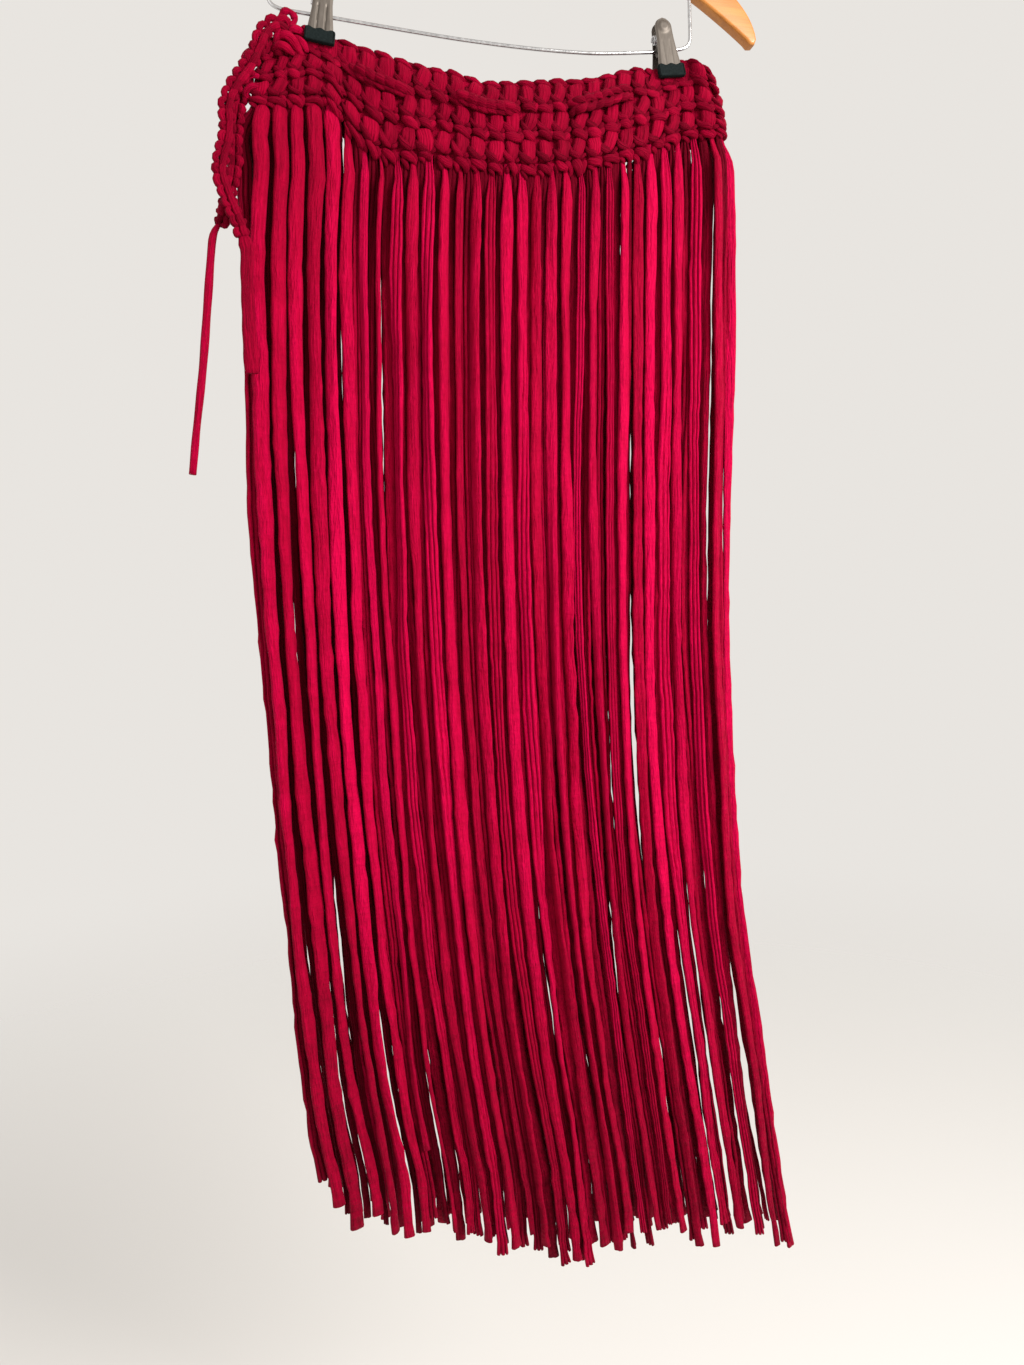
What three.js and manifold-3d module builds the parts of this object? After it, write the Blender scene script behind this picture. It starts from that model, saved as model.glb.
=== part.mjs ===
// Fringed crochet maxi skirt on a wooden clip hanger. Millimetres, +Z up, origin where a rail carries the hook.
// X runs along the hanger's bar, the skirt's front faces -Y.
import * as THREE from 'three';
import { mergeVertices } from 'three/examples/jsm/utils/BufferGeometryUtils.js';
import Module from 'manifold-3d';

const wasm = await Module();
wasm.setup();

// ---------------------------------------------------------------- driving dimensions
const GAP = 0.3; // between pieces at a seam
const HANG_Z = 191.2; // the hook's hang point above the bar's ends
const WOOD_T = 12; // hanger body's thickness
const WIRE_R = 1.5; // bar wire
const HOOK_R = 1.8; // hook wire
const BAR_X = 175; // bar's uprights
const HOOK_C = 172; // hook's centre height
const HOOK_BEND = 21; // its bend radius
// each clip's place on the bar and its lean in degrees
const CLIPS = { l: { x: -134, tilt: 8 }, r: { x: 151.5, tilt: -7 } };
const BAND_L = -192; // the band's free left ends
const TURN_X = 186; // where the band turns to the back
const TURN_R = 7; // inside radius of that turn
const WALL = 7; // crochet wall under its stitches
const STITCH = 3.5; // how far the stitches stand out
const STITCHES = 62; // round the band
const STRANDS = 62; // on each side

// ---------------------------------------------------------------- small tools
const V = (x, y, z) => new THREE.Vector3(x, y, z);
const radians = THREE.MathUtils.degToRad;
const smooth = (t) => THREE.MathUtils.smoothstep(t, 0, 1);

// a table's rows as objects whose fields are the named columns
function table(columns, rows) {
  return rows.map((row) => Object.fromEntries(columns.map((name, i) => [name, row[i]])));
}

// a smooth curve through one column of a table, against another column that rises
function curve(rows, from, to) {
  const x = rows.map((row) => row[from]);
  const y = rows.map((row) => row[to]);
  const last = rows.length - 1;
  const slope = (k) => (k <= 0 || k >= last ? 0 : (y[k + 1] - y[k - 1]) / (x[k + 1] - x[k - 1]));
  return (at) => {
    if (at <= x[0]) return y[0];
    if (at >= x[last]) return y[last];
    const i = x.findIndex((value) => value > at) - 1;
    const width = x[i + 1] - x[i];
    const t = (at - x[i]) / width;
    const rise = t * t * (3 - 2 * t);
    const leaving = slope(i) * width * t * (1 - t) * (1 - t);
    const arriving = slope(i + 1) * width * t * t * (t - 1);
    return y[i] * (1 - rise) + y[i + 1] * rise + leaving + arriving;
  };
}

// the same scatter on every build
function scatter(seed) {
  let state = seed >>> 0;
  return () => {
    state = (state + 0x6d2b79f5) >>> 0;
    let t = Math.imul(state ^ (state >>> 15), 1 | state);
    t = (t + Math.imul(t ^ (t >>> 7), 61 | t)) ^ t;
    return ((t ^ (t >>> 14)) >>> 0) / 4294967296;
  };
}

// a closed body from points and faces, turned to face outwards
function body(points, faces) {
  let volume = 0;
  for (const [a, b, c] of faces) volume += points[a].dot(V(0, 0, 0).crossVectors(points[b], points[c]));
  const index = faces.flatMap(([a, b, c]) => (volume > 0 ? [a, b, c] : [a, c, b]));
  const geometry = new THREE.BufferGeometry();
  const flat = points.flatMap((p) => p.toArray());
  geometry.setAttribute('position', new THREE.Float32BufferAttribute(flat, 3));
  geometry.setIndex(index);
  return geometry;
}

// the two triangles of each side between two rings of points
function bridge(faces, ring, next) {
  ring.forEach((a, j) => {
    const k = (j + 1) % ring.length;
    faces.push([a, next[j], next[k]], [a, next[k], ring[k]]);
  });
}

// rings of equal count joined into a closed body, with flat ends
function loft(rings) {
  const count = rings[0].length;
  const faces = [];
  const ids = rings.map((ring, i) => ring.map((_, j) => i * count + j));
  for (let i = 0; i + 1 < ids.length; i++) bridge(faces, ids[i], ids[i + 1]);
  const end = ids[ids.length - 1];
  for (let j = 1; j + 1 < count; j++) {
    faces.push([ids[0][0], ids[0][j], ids[0][j + 1]], [end[0], end[j + 1], end[j]]);
  }
  return body(rings.flat(), faces);
}

// an oval rod swept along a smooth route; deep is its half size near Y, wide its other half size
function rod(list, steps, wide, deep = wide, sides = 8) {
  const ring = Array.from({ length: sides }, (_, j) => {
    const t = ((j + 0.5) / sides) * 2 * Math.PI;
    return new THREE.Vector2(deep * Math.cos(t), wide * Math.sin(t));
  });
  const route = new THREE.CatmullRomCurve3(list.map((p) => V(...p)), false, 'centripetal');
  return new THREE.ExtrudeGeometry(new THREE.Shape(ring), { steps, bevelEnabled: false, extrudePath: route });
}

// positions only, with shared corners
function bare(geometry) {
  const g = geometry.clone();
  g.deleteAttribute('normal');
  if (g.attributes.uv) g.deleteAttribute('uv');
  return mergeVertices(g, 1e-4);
}

function toManifold(geometry) {
  const g = bare(geometry);
  const vertProperties = new Float32Array(g.attributes.position.array);
  const triVerts = new Uint32Array(g.index.array);
  return new wasm.Manifold(new wasm.Mesh({ numProp: 3, vertProperties, triVerts }));
}

function fromManifold(solid) {
  const mesh = solid.getMesh();
  const g = new THREE.BufferGeometry();
  g.setAttribute('position', new THREE.BufferAttribute(new Float32Array(mesh.vertProperties), 3));
  g.setIndex(Array.from(mesh.triVerts));
  return g;
}

function combine(how, [first, ...rest]) {
  return fromManifold(rest.reduce((solid, g) => solid[how](toManifold(g)), toManifold(first)));
}
const cut = (...geometries) => combine('subtract', geometries);
const join = (...geometries) => combine('add', geometries);
const block = (w, d, h, x, y, z) => new THREE.BoxGeometry(w, d, h).translate(x, y, z);
const mirrored = (outline) => outline.map(([x, z]) => [-x, z]).reverse();

// an outline in X-Z, `thick` deep about Y = 0, with its edges eased
function plate(outline, thick, ease = 0) {
  const shape = new THREE.Shape(outline.map(([x, z]) => new THREE.Vector2(x, z)));
  const depth = thick - 2 * ease;
  const bevel = { bevelThickness: ease, bevelSize: ease, bevelOffset: -ease, bevelSegments: 1 };
  const g = new THREE.ExtrudeGeometry(shape, { depth, steps: 1, bevelEnabled: ease > 0, ...bevel });
  return g.translate(0, 0, -depth / 2).rotateX(Math.PI / 2);
}

const yarn = { color: 0xa8062f, roughness: 0.85, metalness: 0 };
const wood = { color: 0xd9a45e, roughness: 0.4, metalness: 0 };
const chrome = { color: 0xc9ccd0, roughness: 0.2, metalness: 1 };
const steel = { color: 0x9a9a98, roughness: 0.38, metalness: 1 };
const rubber = { color: 0x14181a, roughness: 0.7, metalness: 0 };

const object = new THREE.Group();
object.name = 'fringed_crochet_skirt_on_clip_hanger';
object.position.z = -HANG_Z;
function add(name, geometry, look, group = object) {
  const mesh = new THREE.Mesh(bare(geometry), new THREE.MeshStandardMaterial(look));
  mesh.name = name;
  group.add(mesh);
  return mesh;
}

// ---------------------------------------------------------------- hanger: wood body, hook and bar
const lower = [[0, 92], [40, 89], [80, 80], [120, 66], [150, 53], [178, 38], [203, 22], [224, 7]];
const tip = [[229, 2.5], [233, 4], [234, 10]];
const upper = [
  [227, 26], [212, 43], [190, 60], [160, 77], [120, 94], [80, 108], [45, 119], [20, 126], [10, 128],
];
const half = [...lower, ...tip, ...upper];
const woodBody = plate([...half, ...mirrored(half.slice(1))], WOOD_T, 2.2);
function socket(x, z, height, r) {
  return new THREE.CylinderGeometry(r + GAP, r + GAP, height, 16).rotateX(Math.PI / 2).translate(x, 0, z);
}
const uprights = [-BAR_X, BAR_X].map((x) => socket(x, 35, 30, WIRE_R));
add('hanger_wood', cut(woodBody, socket(0, 125, 26, HOOK_R), ...uprights), wood);

const stem = [[0, 0, 113], [0, 0, 128], [0, 0, 141], [4, 0, 150]];
const bend = [];
for (let a = -50; a <= 200; a += 25) {
  bend.push([HOOK_BEND * Math.cos(radians(a)), 0, HOOK_C + HOOK_BEND * Math.sin(radians(a))]);
}
add('hanger_hook', rod([...stem, ...bend], 22, HOOK_R), chrome);

// the skirt's weight bows the bar, lowest a little right of its middle
const SAG = table(['x', 'z'], [
  [-168, -1.8], [-140, -3.4], [-118, -5], [-60, -9.4], [-16, -12.2],
  [38, -13.9], [86, -13.3], [114, -10.9], [143, -7.6], [168, -4],
]);
const barZ = curve(SAG, 'x', 'z');
const RUN_END = 162; // the bowed run's ends, short of the corners
const run = [];
for (let x = -RUN_END; x <= RUN_END; x += RUN_END / 4.5) run.push([x, 0, barZ(x)]);
function corner(side) {
  const foot = barZ(side * 168);
  const bent = [[170, foot + 2], [BAR_X - 1.6, foot + 4.6], [BAR_X, foot + 9.5], [BAR_X, 47]];
  return bent.map(([x, z]) => [side * x, 0, z]);
}
add('hanger_bar', rod([...corner(-1).reverse(), ...run, ...corner(1)], 44, WIRE_R), chrome);

// ---------------------------------------------------------------- clips: two steel jaws, two rubber pads and
// a spring on the bar, each clip in its own group
const JAW_TILT = Math.atan(5.2 / 47); // each jaw's splay from upright
const JAW_Y = 7; // half the jaws' distance at the bar
const JAW_T = 1.2; // sheet steel
const DOME_Z = 13.1; // centre of the jaw's round top, above the bar
const DOME_R = 7.4;
const PAD = { top: -15.7, bottom: -25.7, half: 11.8, thick: 4.6 };
const SPRING_Z = 8.8;
// half the distance between a jaw's two ears; the back jaw's pass inside the front's
const EAR = { front: 6.2, back: 4.4 };

const jawSide = [[10.2, PAD.bottom + 2.4], [9.8, -13], [8.7, -4], [7.9, 4], [7.4, 10]];
const dome = Array.from({ length: 7 }, (_, i) => {
  const a = (i * Math.PI) / 6;
  return [DOME_R * Math.cos(a), DOME_Z + DOME_R * Math.sin(a)];
});
const jawOutline = [...jawSide, ...dome, ...mirrored(jawSide)];
const padSide = [[PAD.half, PAD.bottom], [PAD.half, PAD.top]];
const padOutline = [...padSide, ...mirrored(padSide)];
const [plateHalf, plateFoot] = jawSide[0];
const SLEEVE_H = 10; // taller than the pad above the plate's foot
const sleeve = block(2 * (plateHalf + GAP), JAW_T + 2 * GAP, SLEEVE_H, 0, 0, plateFoot - GAP + SLEEVE_H / 2);
const barHole = new THREE.CylinderGeometry(WIRE_R + 0.9, WIRE_R + 0.9, 24, 12).rotateZ(Math.PI / 2);
// half the coil's section, radius against place along the bar
const coil = [
  [2.2, -3.4], [3.5, -3.4], [3.9, -1.7], [3.5, 0], [3.9, 1.7], [3.5, 3.4], [2.2, 3.4], [2.2, -3.4],
].map(([r, y]) => new THREE.Vector2(r, y));

for (const [name, clip] of Object.entries(CLIPS)) {
  const group = new THREE.Group();
  group.position.set(clip.x, 0, barZ(clip.x));
  group.rotation.y = radians(clip.tilt);
  object.add(group);
  for (const [face, s] of [['front', -1], ['back', 1]]) {
    const ears = [-EAR[face], EAR[face]].map((x) => block(JAW_T, 8.8, 17.4, x, s * 2.4, 4.4));
    const leaf = plate(jawOutline, JAW_T).rotateX(s * JAW_TILT).translate(0, s * JAW_Y, 0);
    add(`clip_${name}_jaw_${face}`, cut(join(leaf, ...ears), barHole), steel, group);
    const grip = cut(plate(padOutline, PAD.thick, 0.7), sleeve);
    const pad = add(`clip_${name}_pad_${face}`, grip, rubber, group);
    pad.position.y = s * JAW_Y;
    pad.rotation.x = s * JAW_TILT;
  }
  const wound = new THREE.LatheGeometry(coil, 12).rotateZ(Math.PI / 2);
  add(`clip_${name}_spring`, wound, chrome, group).position.z = SPRING_Z;
}

// ---------------------------------------------------------------- band: one crocheted strip from the front's
// left end, round the right side, to the back's left end
// x along the bar; top and bottom edges; open is how far the inside face stands off the middle
const FRONT = table(['x', 'top', 'bottom', 'open'], [
  [-192, -32, -79, 3], [-178, -26, -77.1, 2.2], [-166, -21, -74.9, 1.2], [-157, -19.5, -73.9, 0.4],
  [-149, -15.5, -73.2, 0], [-140, -19, -71.6, -0.2], [-132, -20.5, -74.7, -0.2], [-124, -22, -83.5, -0.1],
  [-116, -24.8, -93.2, 0.2], [-107, -28.2, -101.8, 0.8], [-96, -31.4, -108.7, 1.9], [-84, -34.8, -111.5, 3.3],
  [-70, -38.8, -112.6, 4.5], [-50, -42, -113.2, 5.4], [-30, -45, -115.4, 6.1], [-12, -49.5, -116.9, 6.4],
  [2, -50.1, -117.2, 6.5], [19, -48.2, -116.5, 6.3], [39, -45.2, -114.7, 5.8], [60, -43, -111.9, 4.9],
  [80, -39.4, -107.7, 3.9], [101, -33.8, -101.2, 2.4], [112, -29.3, -98.1, 1.6], [122, -26.7, -95.3, 0.9],
  [133, -25, -91.3, 0.2], [145, -23, -85.3, -0.2], [155, -19, -81.2, -0.4], [165, -15, -77.8, -0.1],
  [176, -16, -75.9, 2.7], [186, -19.5, -75.5, 6.4], [205, -25, -75, 6.4],
]);
const BACK = table(['x', 'top', 'bottom', 'open'], [
  [-192, -32, -80, 3], [-175, -27.6, -79.3, 2], [-150, -19, -80, 0], [-120, -27, -92, 0],
  [-95, -34.2, -100.1, 2], [-70, -40.1, -106.1, 4], [-30, -47, -112, 5.9], [10, -50, -113.4, 6.5],
  [60, -44, -108.6, 5], [90, -36.5, -103.1, 3.3], [110, -31, -98, 1.8], [130, -26.1, -91.4, 0.4],
  [150, -21, -84, -0.4], [165, -16, -77.9, -0.1], [176, -16, -75.9, 2.7], [186, -19.5, -75.5, 6.4],
  [205, -25, -75, 6.4],
]);
const shapeOf = (rows) => ({
  top: curve(rows, 'x', 'top'),
  bottom: curve(rows, 'x', 'bottom'),
  open: curve(rows, 'x', 'open'),
});
const front = shapeOf(FRONT);
const back = shapeOf(BACK);
const FLAT = TURN_X - BAND_L; // length of each side
const TURN = Math.PI * (TURN_R + WALL / 2); // length of the turn
const ROUND = 2 * FLAT + TURN;
const SLOPE = 4.6; // the wall leans out by this much from its top edge to its bottom

// how hard a clip's pads press the cloth at this place, 0 to 1
function pinch(x, v) {
  const near = Object.values(CLIPS).map((clip) => {
    const middle = clip.x - 3 * Math.sign(clip.tilt);
    return 1 - smooth((Math.abs(x - middle) - 15) / 14);
  });
  return Math.max(...near) * (1 - smooth((v - 0.22) / 0.3));
}
// both ends of the band lean: the top edge is drawn in, the bottom edge spreads
function lean(x, v) {
  return 11 * (1 - v) * smooth((-150 - x) / 42) + (12.5 * v - 8) * smooth((x - 160) / 26);
}
// a place on the band: d along it, v from its top edge to its bottom, wall and stitch the share of each
// thickness that lies under it
function place(d, v, { wall, stitch }) {
  const share = THREE.MathUtils.clamp((d - FLAT) / TURN, 0, 1); // of the turn
  const turning = share > 0 && share < 1;
  const a = (share - 0.5) * Math.PI;
  const isFront = share === 0;
  const face = isFront ? -1 : 1;
  const flatX = isFront ? BAND_L + d : TURN_X - (d - FLAT - TURN);
  const x = turning ? TURN_X + 16 * Math.cos(a) : flatX;
  const normal = turning ? V(Math.cos(a), Math.sin(a), 0) : V(0, face, 0);
  const open = isFront ? front.open(x) : back.open(x);
  const flatInside = 0.6 + open + SLOPE * v * smooth((TURN_X - x) / 40);
  const point = turning ? V(TURN_X, 0, 0).addScaledVector(normal, TURN_R) : V(x, face * flatInside, 0);
  const press = turning ? 0 : pinch(x, v);
  point.addScaledVector(normal, wall * (WALL - 2.6 * press) + stitch * (STITCH - 2.4 * press));
  const top = front.top(x) * (1 - share) + back.top(x) * share;
  const bottom = front.bottom(x) * (1 - share) + back.bottom(x) * share;
  point.x += lean(x, v);
  point.z = top + (bottom - top) * v;
  return { point, normal };
}
// a section down the outside and up the plain inside: v, share of the wall, share of the stitch
const PROFILE = table(['v', 'wall', 'stitch'], [
  [0, 0.55, 0], [0.035, 1, 0], [0.08, 1, 1], [0.26, 1, 1], [0.32, 1, 0], [0.38, 1, 1], [0.59, 1, 1],
  [0.645, 1, 0], [0.7, 1, 1], [0.91, 1, 1], [0.955, 1, 0], [1, 0.5, 0], [0.975, 0, 0], [0.025, 0, 0],
]);
// along the band each stitch rises, stays high and falls back
const RISE = table(['part', 'high'], [[0, 0], [0.2, 1], [0.8, 1]]);
const columns = [];
for (let i = 0; i < STITCHES; i++) {
  for (const { part, high } of RISE) columns.push({ d: ((i + part) / STITCHES) * ROUND, high });
}
columns.push({ d: ROUND, high: 0 });
function section({ d, high }) {
  return PROFILE.map(({ v, wall, stitch }) => place(d, v, { wall, stitch: stitch * high }).point);
}
add('band', loft(columns.map(section)), yarn);

// ---------------------------------------------------------------- fringe: a narrow knotted strip under the
// band, its strands growing out of its underside
const EDGES = table(['z', 'left', 'right'], [
  [-1110, -174, 260], [-1038, -174.7, 250], [-966, -177.5, 239.3], [-924, -183.6, 233.6], [-850, -192.2, 224.2],
  [-767, -196.8, 213.3], [-685, -201.1, 207.1], [-606, -204.1, 203.7], [-515, -206.2, 201.8],
  [-430, -207.5, 203.1], [-355, -207.3, 205.1], [-280, -206, 208], [-203, -203.1, 210], [-150, -199, 211.4],
  [-127, -195.9, 211.5], [-95, -191.7, 209], [-76, -191, 203],
]);
const HEM = table(['share', 'z'], [
  [0, -955], [0.04, -982], [0.09, -998], [0.15, -1006], [0.22, -1012], [0.3, -1032], [0.39, -1038],
  [0.46, -1052], [0.54, -1056], [0.65, -1053], [0.74, -1058], [0.84, -1066], [0.92, -1070], [1, -1088],
]);
const leftEdge = curve(EDGES, 'z', 'left');
const rightEdge = curve(EDGES, 'z', 'right');
const hem = curve(HEM, 'share', 'z');
const STRIP_H = 6; // the strip's underside, below the band's edge
const ROOT_HALF = 2.4; // half a strand's width where it grows out of the strip
const STRAND_DEEP = 2.35; // half a strand's depth
const LAYER = 3.15; // every second strand hangs this far in front of the middle, the others behind it
const INSET = 4; // a strand's centre, inside the skirt's outline

// a strand's centre across the skirt at height z, share 0 at the left edge
const strandX = (z, share) => leftEdge(z) + INSET + (rightEdge(z) - leftEdge(z) - 2 * INSET) * share;

function fringe(seed, isFront) {
  const random = scatter(seed);
  const jitter = (size) => (random() - 0.5) * size;
  const span = FLAT + TURN / 2 - 3.4;
  const points = [];
  const faces = [];
  const rim = (d, drop, wall) => {
    const spot = place(isFront ? d : ROUND - d, 1, { wall, stitch: 0 });
    spot.point.z -= drop;
    return spot;
  };
  // the strip's section: ridge, outer and inner underside
  const line = (d) => {
    const ridge = rim(d, GAP + 0.75, 0.5).point;
    return points.push(ridge, rim(d, STRIP_H, 0.9).point, rim(d, STRIP_H, 0.1).point) - 3;
  };
  const stretch = (a, b, underside) => {
    faces.push([a, a + 1, b + 1], [a, b + 1, b], [a, b, b + 2], [a, b + 2, a + 2]);
    if (underside) faces.push([a + 1, a + 2, b + 2], [a + 1, b + 2, b + 1]);
  };
  const strand = (i, d, a, b) => {
    const share = (i + 0.5) / STRANDS;
    const root = rim(d, STRIP_H, 0.5);
    const across = V(-root.normal.y, root.normal.x, 0).multiplyScalar(isFront ? 1 : -1);
    const top = root.point.z;
    const end = hem(share) + jitter(22);
    const drift = jitter(1.4);
    const wide = 4.65 + jitter(0.5);
    const centre = root.point.clone().addScaledVector(root.normal, i % 2 ? LAYER : -LAYER);
    let ring = [a + 1, b + 1, b + 2, a + 2];
    [top - 9, top - 26, top + (end - top) * 0.4, top + (end - top) * 0.72, end].forEach((z, k) => {
      const go = strandX(z, share) - strandX(-80, share);
      const c = centre.clone();
      c.z = z;
      c.x += go * (k ? 1 : 0.5) + drift * smooth(k / 2) + (k > 1 ? jitter(0.9) : 0);
      const half = across.clone().multiplyScalar(k ? wide : 2.7);
      const deep = root.normal.clone().multiplyScalar(STRAND_DEEP);
      const start = points.length;
      for (const [e, f] of [[-1, 1], [1, 1], [1, -1], [-1, -1]]) {
        points.push(c.clone().addScaledVector(half, e).addScaledVector(deep, f));
      }
      const next = [start, start + 1, start + 2, start + 3];
      bridge(faces, ring, next);
      ring = next;
    });
    faces.push([ring[0], ring[3], ring[2]], [ring[0], ring[2], ring[1]]);
  };
  const START = 0.8; // the strip begins this far in from the band's end
  const first = line(START);
  let last = first;
  for (let i = 0; i < STRANDS; i++) {
    const d = START + ((i + 0.5) * span) / STRANDS;
    const a = line(d - ROOT_HALF);
    const b = line(d + ROOT_HALF);
    stretch(last, a, true);
    stretch(a, b, false);
    strand(i, d, a, b);
    last = b;
  }
  const stop = line(span + START);
  stretch(last, stop, true);
  faces.push([first, first + 2, first + 1], [stop, stop + 1, stop + 2]);
  return body(points, faces);
}
add('fringe_front', fringe(11, true), yarn);
add('fringe_back', fringe(29, false), yarn);

// ---------------------------------------------------------------- drawstring: the crochet chain that shows
// between the upper rows, its two hanging ends and their yarn tails
const CHAIN = { wide: 5.8, deep: 3 }; // half sizes
const chain = (list, steps) => rod(list, steps, CHAIN.wide, CHAIN.deep);
// a place that lies on the stitches: x along the bar on the front or back, off its distance above them
function seat(x, v, off, isFront = true) {
  const { point, normal } = place(isFront ? x - BAND_L : ROUND - (x - BAND_L), v, { wall: 1, stitch: 1 });
  return point.addScaledVector(normal, off).toArray();
}
function float(x0, x1, isFront) {
  const shares = [0, 1, 2, 3, 4, 5, 6].map((i) => i / 6);
  // the rows fall back under the chain here, so it lies a little into them
  const route = shares.map((t) => seat(x0 + (x1 - x0) * t, 0.31, t === 0 || t === 1 ? 2.55 : 2.65, isFront));
  return chain(route, 7);
}
[[-112, -70], [-33, 16], [64, 114]].forEach(([x0, x1], i) => {
  add(`drawstring_front_${i + 1}`, float(x0, x1, true), yarn);
  add(`drawstring_back_${i + 1}`, float(x0, x1, false), yarn);
});
// a cord's end and the next piece's start lie on one short straight, GAP apart
function straight(end, way, steps) {
  return steps.map((t) => V(...end).addScaledVector(V(...way).normalize(), t).toArray());
}
const A_END = [-201.8, -27, -185];
const A_WAY = [2, -0.4, -9];
const B_END = [-221, -13, -172];
const B_WAY = [-4, -0.2, -7];
const aRoute = [
  seat(-171, 0.16, CHAIN.deep + GAP), [-172, -17, -24.6], [-177.6, -18.8, -25.6], [-182.8, -19.8, -33],
  [-187.4, -20.2, -42.5], [-191.6, -20.5, -51.5], [-197.5, -20.8, -62], [-205.5, -21, -75], [-209.6, -21, -88],
  [-209.2, -21, -100], [-211, -21.5, -112], [-216.2, -22, -126], [-217.6, -22.5, -138], [-214, -23.5, -150],
  [-208.5, -25, -164], ...straight(A_END, A_WAY, [-7, 0]),
];
const bRoute = [
  [-193.2, -9, -57], [-196.2, -9, -66], [-199.3, -9.3, -78], [-202, -9.7, -91], [-203.8, -10, -106],
  [-204.8, -10, -122], [-206.6, -10.5, -131.4], [-210.8, -11, -142], [-214.6, -12, -154],
  ...straight(B_END, B_WAY, [-7, 0]),
];
const aTail = [
  ...straight(A_END, A_WAY, [GAP, 7, 14]), [-201, -27.4, -215], [-201.5, -27.2, -250], [-201.2, -27, -286],
];
const bTail = [
  ...straight(B_END, B_WAY, [GAP, 4]), [-226, -13.2, -185], [-231.7, -13.4, -228], [-238.5, -13.5, -281],
  [-245.6, -13.6, -327], [-250.6, -13.7, -361],
];
add('tie_chain_a', chain(aRoute, 22), yarn);
add('tie_chain_b', chain(bRoute, 12), yarn);
add('tie_tail_a', rod(aTail, 8, 5, 2.8), yarn);
add('tie_tail_b', rod(bTail, 10, 3.3), yarn);
// the little loop that stands on the top edge at the open corner
const loop = add('corner_loop', new THREE.TorusGeometry(4.7, 2.9, 8, 14).rotateX(Math.PI / 2), yarn);
loop.position.set(-160.5, -5.7, -12.9);

export default object;
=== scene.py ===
# %% [markdown]
# # A fringed crochet maxi skirt on a clip hanger
# The skirt is made of T-shirt yarn: strips of cotton jersey that curl into a soft round cord. A band of
# three crocheted rows carries a fringe of full-length strands. The hanger is a wooden shirt hanger with a
# wire bar and two clips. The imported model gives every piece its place, in metres, with the origin where a
# rail carries the hook.

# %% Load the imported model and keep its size
import math

import bmesh
import bpy
import numpy as np
from mathutils import Matrix, Vector, noise


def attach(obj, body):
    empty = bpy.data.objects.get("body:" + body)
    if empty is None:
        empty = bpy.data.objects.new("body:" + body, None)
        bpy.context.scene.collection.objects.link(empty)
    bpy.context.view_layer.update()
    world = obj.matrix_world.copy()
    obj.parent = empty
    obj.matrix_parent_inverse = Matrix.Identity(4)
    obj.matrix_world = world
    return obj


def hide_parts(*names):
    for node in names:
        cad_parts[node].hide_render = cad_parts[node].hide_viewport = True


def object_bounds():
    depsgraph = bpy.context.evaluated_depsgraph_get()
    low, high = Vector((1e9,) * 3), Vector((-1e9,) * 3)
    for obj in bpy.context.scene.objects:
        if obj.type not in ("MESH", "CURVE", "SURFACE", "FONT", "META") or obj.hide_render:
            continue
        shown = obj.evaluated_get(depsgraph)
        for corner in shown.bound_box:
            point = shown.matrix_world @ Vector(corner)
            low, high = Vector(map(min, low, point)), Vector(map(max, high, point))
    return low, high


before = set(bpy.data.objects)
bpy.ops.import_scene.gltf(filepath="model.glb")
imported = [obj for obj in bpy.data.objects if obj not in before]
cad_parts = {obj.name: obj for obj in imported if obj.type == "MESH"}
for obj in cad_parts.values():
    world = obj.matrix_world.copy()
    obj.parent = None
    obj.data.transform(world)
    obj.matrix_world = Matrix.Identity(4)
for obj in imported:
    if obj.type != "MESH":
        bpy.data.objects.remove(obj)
cad_low, cad_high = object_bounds()
MM = 0.001
HANG_Z = 191.2  # heights are drawn in millimetres from the bar's level, and the hook hangs this far above it
rng = np.random.default_rng(7)  # one seeded source for all that is random
print("CAD box", [round(v, 4) for v in (*cad_low, *cad_high)])

# %% [markdown]
# ## The camera
# The camera stands to the left of the skirt, about level with its middle, and looks a little down. From
# there a wide lens makes the band look tipped up and the bar slope. A camera is an object whose local -Z
# looks forward and +Y is up, so its turn is a matrix made from those three directions.

# %% Camera
FRAME_PX = 1365  # the rendered frame's height
FOCAL_PX = 946.0  # distance from the lens to the frame, in the same pixels
eye = Vector((-0.1684, -0.7977, -0.4676 - HANG_Z * MM))
yaw, pitch, roll = math.radians(12.0), math.radians(4.9), math.radians(1.9)
forward = Vector((math.sin(yaw) * math.cos(pitch), math.cos(yaw) * math.cos(pitch), -math.sin(pitch)))
level = Vector((math.cos(yaw), -math.sin(yaw), 0))
down = forward.cross(level)
right = math.cos(roll) * level + math.sin(roll) * down
up = math.sin(roll) * level - math.cos(roll) * down
turned = Matrix((right, up, -forward)).transposed()

camera = bpy.data.objects.new("camera", bpy.data.cameras.new("camera"))
camera.data.sensor_width = 36
camera.data.lens = FOCAL_PX * camera.data.sensor_width / FRAME_PX
camera.data.clip_start = 0.02
camera.matrix_world = Matrix.Translation(eye) @ turned.to_4x4()
bpy.context.scene.collection.objects.link(camera)
bpy.context.scene.camera = camera
print("lens", round(camera.data.lens, 2), "mm")

# %% [markdown]
# ## Writing materials as sums
# A material is a graph of nodes. Wrapping a socket in a small class lets plain Python arithmetic add the
# Math nodes, which is easier to read than wiring them one by one.

# %% Shader expressions
class Socket:
    """A node's output that arithmetic can be done on."""

    def __init__(self, shader, out):
        self.shader, self.out = shader, out

    def _math(self, operation, *values):
        return self.shader.node("ShaderNodeMath", {"operation": operation}, *values)

    def __add__(self, other):
        return self._math("ADD", self, other)

    def __radd__(self, other):
        return self._math("ADD", other, self)

    def __sub__(self, other):
        return self._math("SUBTRACT", self, other)

    def __rsub__(self, other):
        return self._math("SUBTRACT", other, self)

    def __mul__(self, other):
        return self._math("MULTIPLY", self, other)

    def __rmul__(self, other):
        return self._math("MULTIPLY", other, self)


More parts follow.
